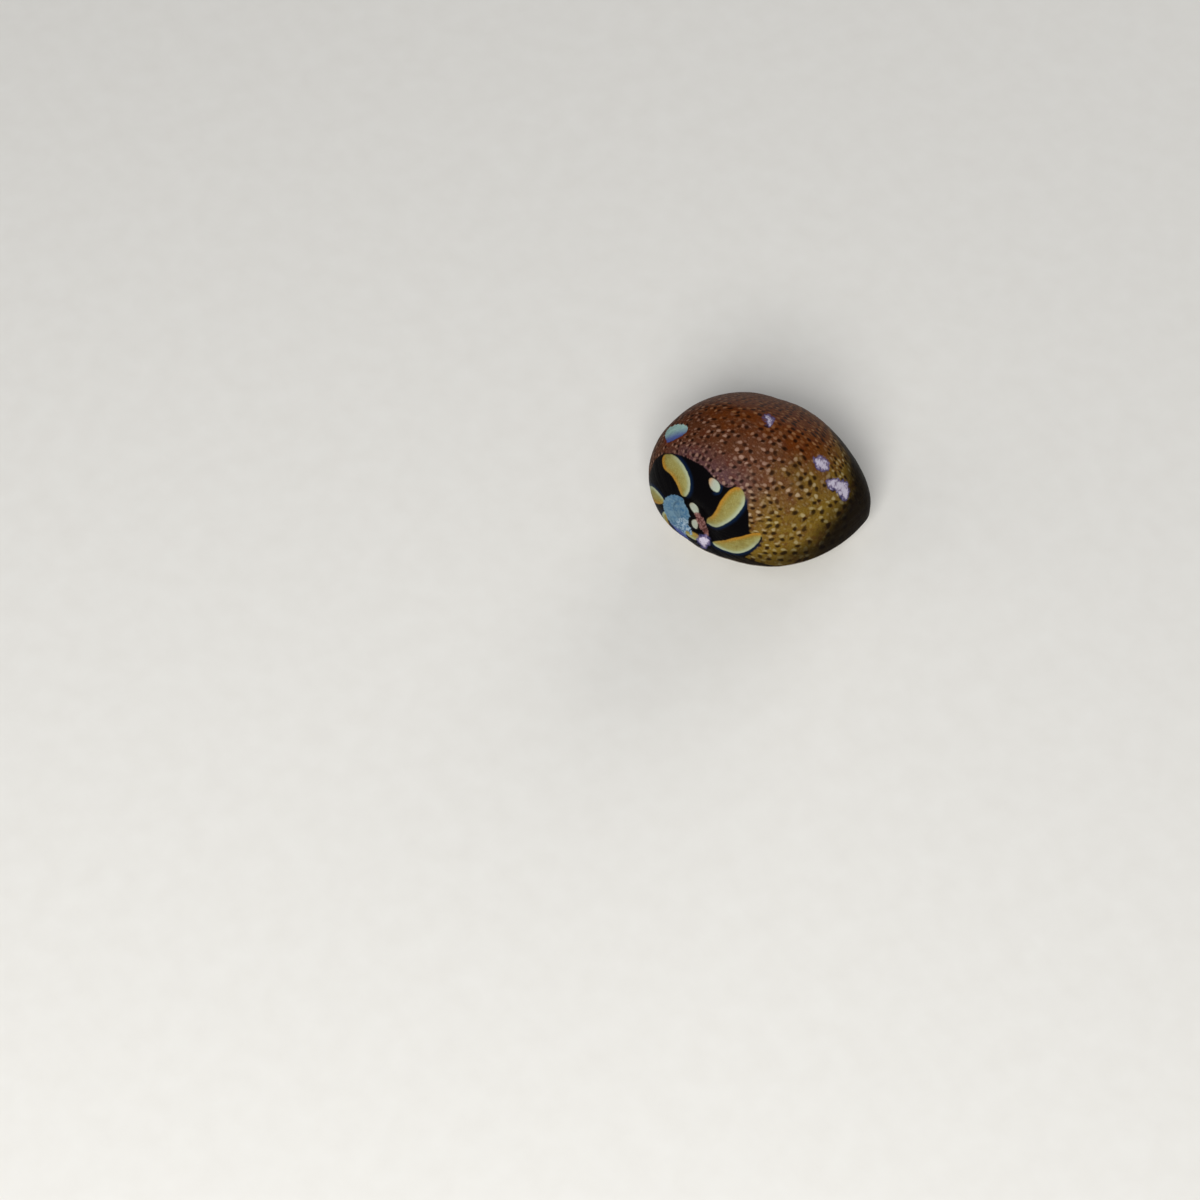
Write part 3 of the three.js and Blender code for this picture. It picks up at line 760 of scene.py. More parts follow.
def mantle_surface():
    """Reach: the ray's limit times sin(pi u). Height: the hollow's own rise, less two gaps."""
    turn, u = closed_grid(120, 80)
    away = np.linspace(0, 12, 400)
    x = HOLLOW_MIDDLE[0] + np.cos(turn[:, :1]) * away
    y = HOLLOW_MIDDLE[1] + np.sin(turn[:, :1]) * away
    free = (inset_at(x, y) > LIP_WALL + SIDE_GAP) & (front_of(x, y) > DECK_EDGE + MANTLE_GAP)
    limit = away[np.argmin(free, axis=1)][:, None]
    share = np.sin(u * np.pi)
    x = HOLLOW_MIDDLE[0] + np.cos(turn) * limit * share
    y = HOLLOW_MIDDLE[1] + np.sin(turn) * limit * share
    rise = smooth((inset_at(x, y) - LIP_WALL) / HOLLOW_WALL)
    rise = rise * smooth((front_of(x, y) - DECK_EDGE) / DECK_STEP)
    low = LIP_HEIGHT + MANTLE_GAP
    top = low + (APERTURE_DEPTH - 2 * MANTLE_GAP) * rise * np.sqrt(1 - share**6)
    return np.stack([x, y, np.where(u < 0.5, top, low)], -1)


parts = [foot_surface(), head_surface(), mantle_surface()]
parts += [feeler("left", 1), feeler("right", -1), stalk(1), stalk(-1)]
print("parts of the body:", len(parts))

# %% [markdown]
# ## One skin
# Joining closed surfaces by a Boolean would leave creases where they meet. A voxel remesh
# makes one skin round them all, and a few rounds of smoothing take its steps off and round
# the roots of the feelers, as on the animal. All parts go into one mesh first. One unit is a
# millimetre in it, because the remesh has a smallest step.

# %% Melt and smooth
VOXEL, SMOOTHING_ROUNDS = 0.09, 6

all_points, all_corners, all_sizes, count = [], [], [], 0
for grid in parts:
    corners, sizes = ring_faces(grid.shape[0], grid.shape[1] - 1)
    points = closed_points(grid)
    all_corners.append(outwards(points, corners, sizes) + count)
    all_points.append(points)
    all_sizes.append(sizes)
    count += len(points)
joined = [np.concatenate(group) for group in (all_points, all_corners, all_sizes)]
rough = make_mesh("body_parts", joined[0] / MM, joined[1], joined[2])
helper = bpy.data.objects.new("body_parts", rough)
bpy.context.collection.objects.link(helper)
melt = helper.modifiers.new("melt", "REMESH")
melt.mode, melt.voxel_size, melt.use_smooth_shade = "VOXEL", VOXEL, True
ease = helper.modifiers.new("ease", "SMOOTH")
ease.factor, ease.iterations = 0.5, SMOOTHING_ROUNDS
ready = helper.evaluated_get(bpy.context.evaluated_depsgraph_get())
melted = bpy.data.meshes.new_from_object(ready)
bpy.data.objects.remove(helper)
print("melted skin:", len(melted.vertices), "points")

# %% [markdown]
# ## Warts, folds and mouth
# A snail's wet skin has fine warts and longer folds, which catch the light and so make it look
# wet. Two soft noises raise them along the skin's own outward direction. The mouth is a slit
# under the snout, pressed in between two low lips. The sole stays flat on the floor.

# %% Wrinkle the skin
WART_SIZE, WART_HEIGHT, FOLD_SIZE, FOLD_HEIGHT = 0.28, 0.022, 0.9, 0.04
MOUTH_HEIGHT, MOUTH_WIDTH, MOUTH_DEPTH, MOUTH_SLIT = 0.8, 1.9, 0.3, 0.13
MOUTH_REACH, LIP_BULGE, SOLE_DROP = 1.6, 0.08, 0.02
SMOOTH_SOLE, SOLE_FADE = 0.1, 0.4

skin_points = read(melted.vertices, "co", 3).astype(float)
skin_corners = read(melted.loops, "vertex_index", kind=np.int32)
skin_sizes = read(melted.polygons, "loop_total", kind=np.int32)
normals = read(melted.vertices, "normal", 3).astype(float)
warts = soft_noise(skin_points, WART_SIZE, 11) + 0.5 * soft_noise(skin_points, WART_SIZE / 2, 12)
folds = soft_noise(skin_points * (1, 0.45, 1), FOLD_SIZE, 13)
free = smooth((skin_points[:, 2] - SMOOTH_SOLE) / SOLE_FADE)
skin_points += normals * ((WART_HEIGHT * warts + FOLD_HEIGHT * folds) * free)[:, None]
off_x, off_z = skin_points[:, 0] - HEAD_X, skin_points[:, 2] - MOUTH_HEIGHT
near = np.exp(-((off_x / (MOUTH_WIDTH / 2)) ** 4))
near = near * smooth(HEAD_FRONT + MOUTH_REACH - skin_points[:, 1])
slit = np.exp(-((off_z / MOUTH_SLIT) ** 2))
lips = np.exp(-(((np.abs(off_z) - 2 * MOUTH_SLIT) / MOUTH_SLIT) ** 2))
skin_points[:, 1] += near * (MOUTH_DEPTH * slit - LIP_BULGE * lips)
skin_points[:, 2] = np.maximum(skin_points[:, 2] - SOLE_DROP, 0)
skin_mesh = make_mesh("snail_skin", skin_points, skin_corners, skin_sizes)
for name, field in {"mouth": near * slit, "wart": warts}.items():
    skin_mesh.attributes.new(name, "FLOAT", "POINT").data.foreach_set("value", field)
skin = add_piece(
    "snail_skin", skin_mesh, "flesh", "foot", "head", "mantle", "tentacle_left", "tentacle_right",
    "eye_stalk_left", "eye_stalk_right",
)
print("skin from", skin_points.min(0).round(2), "to", skin_points.max(0).round(2), "mm")

# %% [markdown]
# ## Eyes
# A nerite's eye is a black bead at the tip of its stalk, under clear skin. A ready-made ball
# has its poles up and down. Ours has them along the stalk, so that the ring where the black
# turns grey lies square to it. The number from pole to pole is stored for the finish.


# %% Eye beads
def eye_surface(low, high, side):
    """A globe: cos(pi u) along the stalk, sin(pi u) times a circle round it."""
    turn, u = closed_grid(72, 48)
    centre, radius = (low + high) / 2, (high - low)[0] / 2
    ahead = stalk_lean(side)
    across = np.cross((0, 0, 1), ahead)
    across /= np.linalg.norm(across)
    above = np.cross(ahead, across)
    out = np.sin(u * np.pi)[..., None]
    ring = np.cos(turn)[..., None] * across + np.sin(turn)[..., None] * above
    return centre + radius * (np.cos(u * np.pi)[..., None] * ahead + out * ring), u


eyes = []
for name, side in (("left", 1), ("right", -1)):
    box = np.array(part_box(f"eye_{name}")) / MM
    grid, way = eye_surface(*box, side)
    mesh = closed_mesh(f"eye_bead_{name}", grid)
    mesh.attributes.new("way", "FLOAT", "POINT").data.foreach_set("value", per_point(way))
    eyes.append(add_piece(f"eye_bead_{name}", mesh, "eye", f"eye_{name}"))

# %% [markdown]
# ## The lid
# The lid, or operculum, closes the opening when the snail withdraws. It is a half-moon that
# grows from one corner, so its top carries arcs round that corner. A cut disc would have sharp
# edges all round. We shrink one outline towards its middle instead, and round its edge by the
# root of 1 - way squared.

# %% Operculum
LID_LENGTH, LID_WIDTH, LID_THICKNESS, LID_CENTRE, LID_TOP = 5.8, 4.0, 0.55, (2.9, 2.4), 2.0
LID_FLATNESS, LID_ROUND, LID_RELIEF = 0.62, 0.14, 0.1
ARC_CORNER, ARC_RATE, ARC_HEIGHT, RIM_HEIGHT = (-0.9, -LID_LENGTH * 0.42), 14, 0.02, 0.05


def lid_surface():
    """Half-moon rings of one outline, lifted at the rim by a rounded edge; flat below."""
    turn, u = closed_grid(120, 72)
    reach = np.sin(u * np.pi)
    flat = np.where(np.cos(turn) > 0, 1, LID_FLATNESS)
    x, y = np.cos(turn) * flat * reach * LID_WIDTH / 2, np.sin(turn) * reach * LID_LENGTH / 2
    edge = np.sqrt(1 - np.clip((reach - 1 + LID_ROUND) / LID_ROUND, 0, 1) ** 2)
    arcs = np.hypot(x - ARC_CORNER[0], y - ARC_CORNER[1])
    relief = ARC_HEIGHT * np.cos(arcs * ARC_RATE) + RIM_HEIGHT * reach**2
    z = np.where(u < 0.5, 0.5 + relief / LID_THICKNESS, -0.5) * edge
    place = np.stack([
        LID_CENTRE[0] + x * math.cos(APEX_TURN) - y * math.sin(APEX_TURN),
        LID_CENTRE[1] + x * math.sin(APEX_TURN) + y * math.cos(APEX_TURN),
        LID_TOP - LID_THICKNESS / 2 + z * (LID_THICKNESS - LID_RELIEF),
    ], -1)
    return place, arcs


grid, arcs = lid_surface()
lid_mesh = closed_mesh("half_moon_lid", grid)
lid_mesh.attributes.new("arcs", "FLOAT", "POINT").data.foreach_set("value", per_point(arcs))
lid = add_piece("half_moon_lid", lid_mesh, "operculum", "operculum")

# %% [markdown]
# ## Writing shaders as sums
# A finish is arithmetic on the surface: this much of one colour, plus that much of another.
# Blender keeps it as nodes. They could be joined by hand in its editor, but a pattern of a few
# hundred nodes is hard to read there. A small class lets us write it as Python instead: it
# wraps one output socket, each operator adds a Math node, and one method makes any other node.


# %% The socket class
class Shade:
    """Wraps an output socket, so that shader maths reads like ordinary Python."""

    def __init__(self, socket):
        self.socket = socket

    def node(self, kind, settings, values, out=0):
        """Adds a node: first its settings, then the numbers or links of its sockets."""
        tree = self.socket.id_data
        made = tree.nodes.new(kind)
        for name, value in settings.items():
            setattr(made, name, value)
        for name, value in values.items():
            if isinstance(value, Shade):
                tree.links.new(value.socket, made.inputs[name])
            else:
                made.inputs[name].default_value = value
        return Shade(made.outputs[out])

    def math(self, operation, first, second=0.0):
        return self.node("ShaderNodeMath", {"operation": operation}, {0: first, 1: second})

    def alone(self, operation):
        """A Math node that needs this socket only, such as FLOOR."""
        return self.math(operation, self)

    def __add__(self, other):
        return self.math("ADD", self, other)

    def __radd__(self, other):
        return self.math("ADD", other, self)

    def __sub__(self, other):
        return self.math("SUBTRACT", self, other)

    def __rsub__(self, other):
        return self.math("SUBTRACT", other, self)

    def __mul__(self, other):
        return self.math("MULTIPLY", self, other)

    def __rmul__(self, other):
        return self.math("MULTIPLY", other, self)

    def __truediv__(self, other):
        return self.math("DIVIDE", self, other)

    def larger(self, other):
        return self.math("MAXIMUM", self, other)

    def step(self, low, high):
        """A soft step from 0 at low to 1 at high; low may be the greater of the two."""
        values = {"Value": self, "From Min": low, "From Max": high}
        return self.node("ShaderNodeMapRange", {"interpolation_type": "SMOOTHSTEP"}, values)

    def stretched(self, scale):
        """A vector times three numbers."""
        return self.node("ShaderNodeVectorMath", {"operation": "MULTIPLY"}, {0: self, 1: scale})

    def part(self, axis):
        """One of a vector's three numbers."""
        return self.node("ShaderNodeSeparateXYZ", {}, {0: self}, axis)

    def vector(self, x, y, z=0.0):
        """Three numbers as a vector."""
        return self.node("ShaderNodeCombineXYZ", {}, {0: x, 1: y, 2: z})

    def noise(self, scale, detail=2.0, rough=0.5):
        """Cloudy numbers from 0 to 1; scale is the number of clouds in a millimetre."""
        values = {"Vector": self, "Scale": scale, "Detail": detail, "Roughness": rough}
        return self.node("ShaderNodeTexNoise", {"noise_dimensions": "3D"}, values)

    def field(self, name):
        """One of the numbers that we stored on the mesh's points."""
        return self.node("ShaderNodeAttribute", {"attribute_name": name}, {}, "Fac")


print("methods of a socket:", [name for name in vars(Shade) if not name.startswith("_")])

# %% [markdown]
# ## Colours, layers and materials
# We name a colour as a screen shows it, such as 7A5B48, but light adds up on another scale, so
# each code is first turned into the light it stands for. A layer of paint is a Mix node: its
# mask says how much of the new colour covers the old one. Every finish starts as an empty
# material that knows the place on its piece in millimetres, and ends by feeding the sockets
# that vary. That could be written out each time, but here it is said once for all finishes.


# %% Colours, layers and materials
def linear(code):
    """A screen colour as light: parts above 0.04 are ((c + 0.055) / 1.055) to the 2.4."""
    parts = [int(code[i : i + 2], 16) / 255 for i in (0, 2, 4)]
    return (*[c / 12.92 if c <= 0.04045 else ((c + 0.055) / 1.055) ** 2.4 for c in parts], 1.0)


def paint(below, mask, above):
    """One colour over another by a mask; a colour is a screen code or a socket."""
    below, above = (linear(c) if isinstance(c, str) else c for c in (below, above))
    settings = {"data_type": "RGBA", "clamp_factor": True}
    return mask.node("ShaderNodeMix", settings, {0: mask, 6: below, 7: above}, 2)


def new_finish(name):
    """An empty material: it, its surface shader, and the place on the object in millimetres."""
    material = bpy.data.materials.new(name)
    material.use_nodes = True
    tree = material.node_tree
    tree.nodes.clear()
    shader = tree.nodes.new("ShaderNodeBsdfPrincipled")
    output = tree.nodes.new("ShaderNodeOutputMaterial")
    tree.links.new(shader.outputs[0], output.inputs["Surface"])
    place = Shade(tree.nodes.new("ShaderNodeTexCoord").outputs["Object"])
    return material, shader, place.stretched((1 / MM, 1 / MM, 1 / MM))


def connect(shader, color, roughness, height=None, bump=0.0, coat=None):
    """Feeds the sockets that vary: colour, roughness, coat, and a height through Bump."""
    tree = shader.id_data
    tree.links.new(color.socket, shader.inputs["Base Color"])
    tree.links.new(roughness.socket, shader.inputs["Roughness"])
    if coat is not None:
        tree.links.new(coat.socket, shader.inputs["Coat Weight"])
    if height is not None:
        relief = height.node("ShaderNodeBump", {}, {"Height": height, "Distance": bump}, "Normal")
        tree.links.new(relief.socket, shader.inputs["Normal"])


print("red-brown as light:", [round(part, 3) for part in linear("5C3825")])

# %% [markdown]
# ## Where on the shell
# Each layer of the shell's colours asks the same things: how far round the coil, how far from
# the apex to the rim, and a few noises that make straight edges wander. The place in the room
# could answer, but then no pattern would follow the coil, so we read the shell's own map. It
# starts at the rim and comes back there after one turn. Over its last degrees the layers fade
# to the rim's colours, which hides most of the line where it closes. A short straight edge
# still shows from behind, low beside the flames, where the dark rim and its painted shade are
# weaker on one side.

# %% The map and the noises
shell_material, shell_shader, place = new_finish("nerite_shell")


def tell_nodes():
    """Says how far the shell's finish has grown."""
    print("nodes in the shell's finish so far:", len(shell_material.node_tree.nodes))


shell_map = place.node("ShaderNodeUVMap", {"uv_map": "shell_map"}, {})
around, across = shell_map.part(0), shell_map.part(1)
angle = around * 360.0 + LIP_ANGLE
cloud, mottle = place.noise(0.45, 3.0), place.noise(1.1, 3.0, 0.6)
grain, fine = place.noise(3.2, 3.0, 0.6), place.noise(9.0, 2.0, 0.6)
waver = place.noise(0.9, 2.0) - 0.5
seam = (angle + waver * 12.0).step(290.0, 328.0)
tell_nodes()

# %% [markdown]
# ## Ground colours
# A nerite adds its colours at the rim as it grows, so they lie in zones along the coil: gold
# at the rim, purple beside the band, orange down the flank, red-brown on the old side and
# greyer behind. Zones painted on an image would blur close up. Here each zone is a mask, a
# soft step along the angle or the way across, and a noise added before the step makes its edge
# wander. Two colours go through the zones side by side: the ground, and the drops to come.

# %% Zones of the ground
old = (angle + cloud * 60.0).step(50.0, 135.0) * (1 - seam)
gold = (angle + (cloud - 0.5) * 60.0 + (across - 0.4) * -60.0).step(62.0, -8.0)
gold = gold.larger(seam) * across.step(0.95, 0.75)
mauve = (across + cloud * 0.08).step(0.47, 0.36)
mauve = mauve * angle.step(20.0, 60.0) * angle.step(150.0, 100.0)
orange = (across + waver * 0.2).step(0.46, 0.55)
orange = orange * angle.step(18.0, 45.0) * angle.step(140.0, 90.0)
behind = (angle + cloud * 30.0).step(150.0, 195.0) * (1 - seam)

ground, pale = paint("5C3825", old, "482613"), paint("9C8070", old, "8A6A58")
ground, pale = paint(ground, gold, "6C5418"), paint(pale, gold, "978A60")
ground = paint(ground, mauve * 0.85, "49343B")
ground, pale = paint(ground, orange * 0.85, "562604"), paint(pale, orange * 0.8, "7C5024")
ground = paint(ground, behind * 0.7, "453324")
ground = paint(ground, mottle.step(0.5, 0.66) * 0.5, "4A1F10")
ground = paint(ground, grain.step(0.42, 0.7) * 0.35, "2E170B")
ground = paint(ground, fine.step(0.5, 0.75) * 0.2, pale)
tell_nodes()

# %% [markdown]
# ## Drops
# The brown is strewn with small pale drops, each beside a dark point, in rows along the growth
# lines. Thousands of dots on an image would blur, and drops of their own geometry would be
# far too many faces. So we lay a grid of cells over the map, with every other row moved by
# half a cell. Two random numbers for each cell move its drop and leave some cells empty, and
# a short formula draws an ellipse. The dark points are the same cells moved by about half a
# cell, and a finer grid adds faint specks.

# %% Drops in cells
DROPS_AROUND, DROPS_ACROSS = 62, 50
DROP_LONG, DROP_WIDE, DROP_STRAY = 0.2, 0.26, 0.42
POINT_SHIFT = 0.48


def chance_of(place):
    """A random number from 0 to 1 for a cell."""
    settings = {"noise_dimensions": "2D"}
    return place.node("ShaderNodeTexWhiteNoise", settings, {"Vector": place}, "Value")


def drops(growth, lane, stray, long, wide, keep):
    """The ellipse where x² + y² is small, in a share of the cells; also a random number."""
    row = growth.alone("FLOOR")
    shifted = lane + row.math("MODULO", row, 2.0) * 0.5
    cell = shifted.alone("FLOOR")
    number = growth.vector(row, cell)
    first, second = chance_of(number), chance_of(number.stretched((1.7, 2.3, 1.0)))
    x = (growth - row - 0.5 + (first - 0.5) * stray) / long
    y = (shifted - cell - 0.5 + (second - 0.5) * stray) / wide
    kept = (first * 7.31).alone("FRACT").step(1 - keep, 1.15 - keep)
    return (x * x + y * y).step(1.6, 0.1) * kept, second


growth = around * float(DROPS_AROUND) + waver * 0.9
lane = across * float(DROPS_ACROSS) + (cloud - 0.5) * 1.2
dark_long, dark_wide = DROP_LONG * 1.2, DROP_WIDE * 1.15
point, _ = drops(growth + POINT_SHIFT, lane, DROP_STRAY, dark_long, dark_wide, 0.88)
drop, drop_chance = drops(growth, lane, DROP_STRAY, DROP_LONG, DROP_WIDE, 0.84)
speck, _ = drops(growth * 1.9 + 0.3, lane * 1.7, 0.5, 0.3, 0.24, 0.7)
thin = (place.noise(0.7, 1.0).step(0.25, 0.5) * 0.4 + 0.6) * across.step(0.97, 0.88)
ground = paint(ground, speck * thin * 0.25, pale)
ground = paint(ground, point * 0.9 * thin, "150804")
ground = paint(ground, drop * thin * (0.35 + 0.65 * drop_chance), pale)
tell_nodes()

# %% [markdown]
# ## Streaks, and the dark rim with painted shade
# Thin dark streaks follow the coil on the lower flank. Towards the rim the shell is painted
# nearly black, with a ragged edge. This is partly the newest growth's own dark colour and partly
# painted shade where the dome turns away at its edge. A faint painted shade also lies over the
# underside. Noise over the flat map would break where the map closes. Wound on a cylinder, by
# the cosine and sine of the turn, it closes by itself, and the rate across is high, so that the
# clouds draw out into streaks. The dark rim is a soft step on angle and way across together, as
# it runs slantwise.


# %% Streaks, and the dark rim with painted shade
def seamless(radius, rate, detail, rough=0.5):
    """Noise at cos · radius and sin · radius of the turn, and at the way across times rate."""
    turn = around * math.tau
    x, y = turn.alone("COSINE") * radius, turn.alone("SINE") * radius
    return turn.vector(x, y, across * rate).noise(1.0, detail, rough)


streak = seamless(3.0, 55.0, 2.0).step(0.6, 0.72) * across.step(0.42, 0.52)
ground = paint(ground, streak * 0.6, "1E0D06")
ragged = (cloud - 0.5) * 14.0 + (grain - 0.5) * 8.0
# Dark rim: partly the newest growth's own dark colour, partly painted shade along the dome's
# turning edge.
dark_rim_and_shade = (angle - (across - 0.42) * 122.0 + 8.0 + ragged).step(12.0, -5.0)
dark_rim_and_shade = dark_rim_and_shade * (across.step(0.33, 0.47) * 0.45 + 0.55)
dark_rim_and_shade = dark_rim_and_shade.larger(seam) * (across.step(0.9, 0.74) * 0.42 + 0.55)
# A faint painted shade over the underside, past the widest part.
underside_shade = (across + (cloud - 0.5) * 0.1).step(0.64, 0.76)
dark_rim_and_shade = dark_rim_and_shade.larger(underside_shade * 0.15)
ground = paint(ground, dark_rim_and_shade, "080301")
tell_nodes()

# %% [markdown]
# ## Band and flames
# Here the numbers on the chart come in. A soft step at depth 0 cuts each marking out, and a
# little noise added first frays its edge as growth does. The step could stand alone, but the
# flames aren't painted one yellow. One side is painted lighter and greener as a lit side, with a
# pale edge. The other is painted darker as a shaded side, with an orange edge. There are also
# pearly spots, and a thin blue line beside the flames. The slope of the depth round the coil,
# which we stored too, tells the two sides apart.

# %% Band and flames
in_band = (place.field("band") + (grain - 0.5) * 0.22).step(-0.06, 0.08)
color = paint(ground, in_band, "050405")
flame_depth = place.field("crescent") + (grain - 0.5) * 0.1
in_flame = flame_depth.step(-0.06, 0.1)
side = place.field("crescent_side") + (cloud - 0.5) * 0.2
near_edge = flame_depth.step(0.6, 0.0)
# Painted light and shade: one side of each flame is painted lighter as lit, the other darker as
# shaded.
lit_side_share = side * flame_depth.step(1.0, 0.1) + (grain - 0.5) * 0.5
yellow = paint("776526", lit_side_share.step(-0.5, 0.5), "858453")
yellow = paint(yellow, fine.step(0.42, 0.68) * 0.4, "97905A")
yellow = paint(yellow, mottle.step(0.48, 0.7) * 0.4, "5F5022")
yellow = paint(yellow, place.field("pearl").step(-0.1, 0.05) * 0.75, "9CA49B")
yellow = paint(yellow, side.step(0.0, -0.45) * near_edge * 0.6, "A86C18")
yellow = paint(yellow, side.step(0.0, 0.45) * near_edge * 0.8, "9DA892")
color = paint(color, in_flame * (0.93 + 0.07 * fine), yellow)
blue_line = flame_depth.step(-0.5, -0.05) * side.step(0.1, 0.35) * (1 - in_flame)
color = paint(color, blue_line * 0.85, "07182F")
tell_nodes()

# %% [markdown]
# ## Worn places
# Soft water eats the oldest shell. The suture turns pink there, the apex is blue-grey chalk
# with chips, a rusty line runs round it, and further out flakes show the milky lilac layer
# below the colours. One grey for all would look like dirt. So each is cut from the chart as
# the flames are, with a stronger noise, as wear has rough edges. Last, one mask keeps how
# worn each place is, for the relief and the shine.

# %% Suture, chalk and lilac flakes
in_pink = (place.field("pink") + (grain - 0.5) * 0.35).step(-0.06, 0.08)
rosy = paint("4C2A26", (grain + (fine - 0.5) * 0.5).step(0.38, 0.66), "84605A")
color = paint(color, in_pink * 0.9, rosy)

chalk_depth = place.field("chalk") + (grain - 0.5) * 0.45
in_chalk = chalk_depth.step(-0.05, 0.06)
chalky = paint("2F5372", (grain + cloud * 0.6).step(0.55, 1.0), "5C7685")
chipped = angle.step(236.0, 262.0) * (fine + (grain - 0.5) * 0.8).step(0.46, 0.56)
chalky = paint(chalky, chipped * 0.75, "93A3B0")
flaky = paint("444E80", (across + (grain - 0.5) * 0.01).step(0.425, 0.47), "86A39C")
chalky = paint(chalky, across.step(0.27, 0.31), flaky)
rusty = chalk_depth.step(-0.5, 0.0) * across.step(0.47, 0.42) * (1 - in_band) * (1 - in_chalk)
color = paint(paint(color, rusty * 0.7, "5A2412"), in_chalk, chalky)

lilac_depth = place.field("lilac") + (place.noise(2.2, 3.0) - 0.55) * 1.1
in_lilac = lilac_depth.step(-0.15, 0.15)
milky = paint("66566F", (grain + lilac_depth * 0.7).step(0.5, 0.85), "B3ACBB")
color = paint(color, in_lilac, paint("48466C", lilac_depth.step(0.0, 0.3), milky))
worn_away = in_chalk.larger(in_lilac).larger(in_pink * 0.8)
tell_nodes()

# %% [markdown]
# ## Fine relief and shine
# Between the ridges run lines too fine for the mesh, so these are left to a Bump node. The
# wound noise draws them: its large radius and low rate make lines from the apex to the rim.
# In air a shell shines like glazed ware. A nerite lives under water, which bends light nearly
# as much as lime does, so hardly anything mirrors at the surface and the colours look deep, as
# the photograph shows them. Real water round the shell would do that too, but slowly and with
# noisy light. A low index of refraction on the shell itself gives the same look.

# %% The shell's relief and shine
FINE_RELIEF, IN_WATER_INDEX, IN_WATER_SHINE = 3.5e-5, 1.17, 0.1
growth_lines = seamless(36.0, 2.5, 3.0, 0.6)
height = growth_lines * 0.9 + grain * 0.5 - worn_away * (fine * 1.4) + drop * 0.05
roughness = 0.38 + grain * 0.14 + worn_away * 0.32 - in_band * (1 - in_flame) * 0.04
connect(shell_shader, color, roughness, height, FINE_RELIEF)
shell_shader.inputs["IOR"].default_value = IN_WATER_INDEX
shell_shader.inputs["Specular IOR Level"].default_value = IN_WATER_SHINE
shell.data.materials.append(shell_material)
tell_nodes()

# %% [markdown]
# ## Inside of the shell
# Where the body rubs, the shell is porcelain: cream on the deck, bluish in the hollow, with a
# dark line at the very rim, where the newest layer hasn't been lined yet. The line could be
# drawn on a map as the bands are, but the rim is all at one height, so soft steps on the
# height above the floor are enough.


# %% The porcelain
def porcelain_finish():
    """Cream that turns blue-grey with height, clouded, and a dark band at the rim."""
    material, shader, place = new_finish("shell_porcelain")
    height, cloud, grain = place.part(2), place.noise(0.5, 3.0), place.noise(4.0, 3.0, 0.6)
    color = paint("CFC6AE", cloud.step(0.35, 0.7), "B9AE93")
    color = paint(color, height.step(LIP_HEIGHT + 0.3, LIP_HEIGHT + 2.5), "8E9AA0")
    begins = height.step(LIP_HEIGHT + 0.02, LIP_HEIGHT + LIP_ROUND * 0.8)
    ends = height.step(LIP_HEIGHT + LIP_ROUND * 1.6, LIP_HEIGHT + LIP_ROUND)
    color = paint(color, begins * ends * 0.85, "3A2416")
    connect(shader, color, 0.22 + grain * 0.12, grain + cloud, 1.5e-5)
    shader.inputs["Coat Weight"].default_value = 0.3
    return material


shell.data.materials.append(porcelain_finish())
print("finishes of the shell:", [material.name for material in shell.data.materials])

# %% [markdown]
# ## Wet skin
# The foot of a nerite is grey-cream, crowded with fine dark dashes that follow the muscle,
# and paler towards its edge. The slit of the mouth is painted nearly black as the shade inside
# it. The dashes are a noise, stretched along the body. One even gloss would look like plastic.
# Mucus lies in patches, so the clear coat comes and goes with a cloud, and a little light
# passes below the surface.


# %% The skin's finish
def skin_finish():
    """Cream ground, dark dashes from stretched noise, a pale foot edge, painted shade in the mouth.
    """
    material, shader, place = new_finish("wet_skin")
    height, cloud, grain = place.part(2), place.noise(0.6, 3.0), place.noise(5.0, 3.0, 0.6)
    dashes = place.stretched((3.2, 1.1, 2.6)).noise(2.2, 3.0, 0.62)
    color = paint("8E8571", cloud.step(0.35, 0.7), "74705F")
    color = paint(color, dashes.step(0.52, 0.64) * 0.85, "2F2C27")
    color = paint(color, height.step(0.55, 0.1) * 0.6, "A89F88")
    color = paint(color, place.field("wart").step(0.25, 0.9) * 0.4, "B4AC96")
    # Painted shade: the mouth's slit is painted nearly black for the shade inside it.
    color = paint(color, place.field("mouth").step(0.15, 0.6) * 0.9, "2A1713")
    wet = cloud.step(0.4, 0.6) * 0.35 + 0.25
    connect(shader, color, 0.36 + grain * 0.2, grain * 0.6 + dashes * 0.4, 4e-5, wet)
    shader.inputs["Coat Roughness"].default_value = 0.12
    shader.inputs["Subsurface Weight"].default_value = 0.12
    shader.inputs["Subsurface Scale"].default_value = 0.0006
    return material


skin.data.materials.append(skin_finish())
print("finish of the skin:", skin.data.materials[0].name)

# %% [markdown]
# ## Eyes and lid
# The eye is a wet black bead that turns brown-grey towards the stalk. A ball of two pieces
# could do it. The number that runs from pole to pole does it in one, with a soft border. The
# lid is horn and chalk in arcs round the corner that it grows from. A Wave texture draws
# rings too, but only round its own middle, so we take the sine of the distance we stored.


# %% Finishes of eyes and lid
def eye_finish():
    """Black in front, turning brown-grey behind, under a clear coat."""
    material, shader, place = new_finish("eye_bead")
    way, grain = place.field("way"), place.noise(12.0, 2.0)
    color = paint("060607", (way + grain * 0.06).step(0.42, 0.6), "4A4238")
    connect(shader, color, 0.08 + grain * 0.08, grain, 4e-6)
    shader.inputs["Coat Weight"].default_value = 0.8
    shader.inputs["Coat Roughness"].default_value = 0.03
    return material


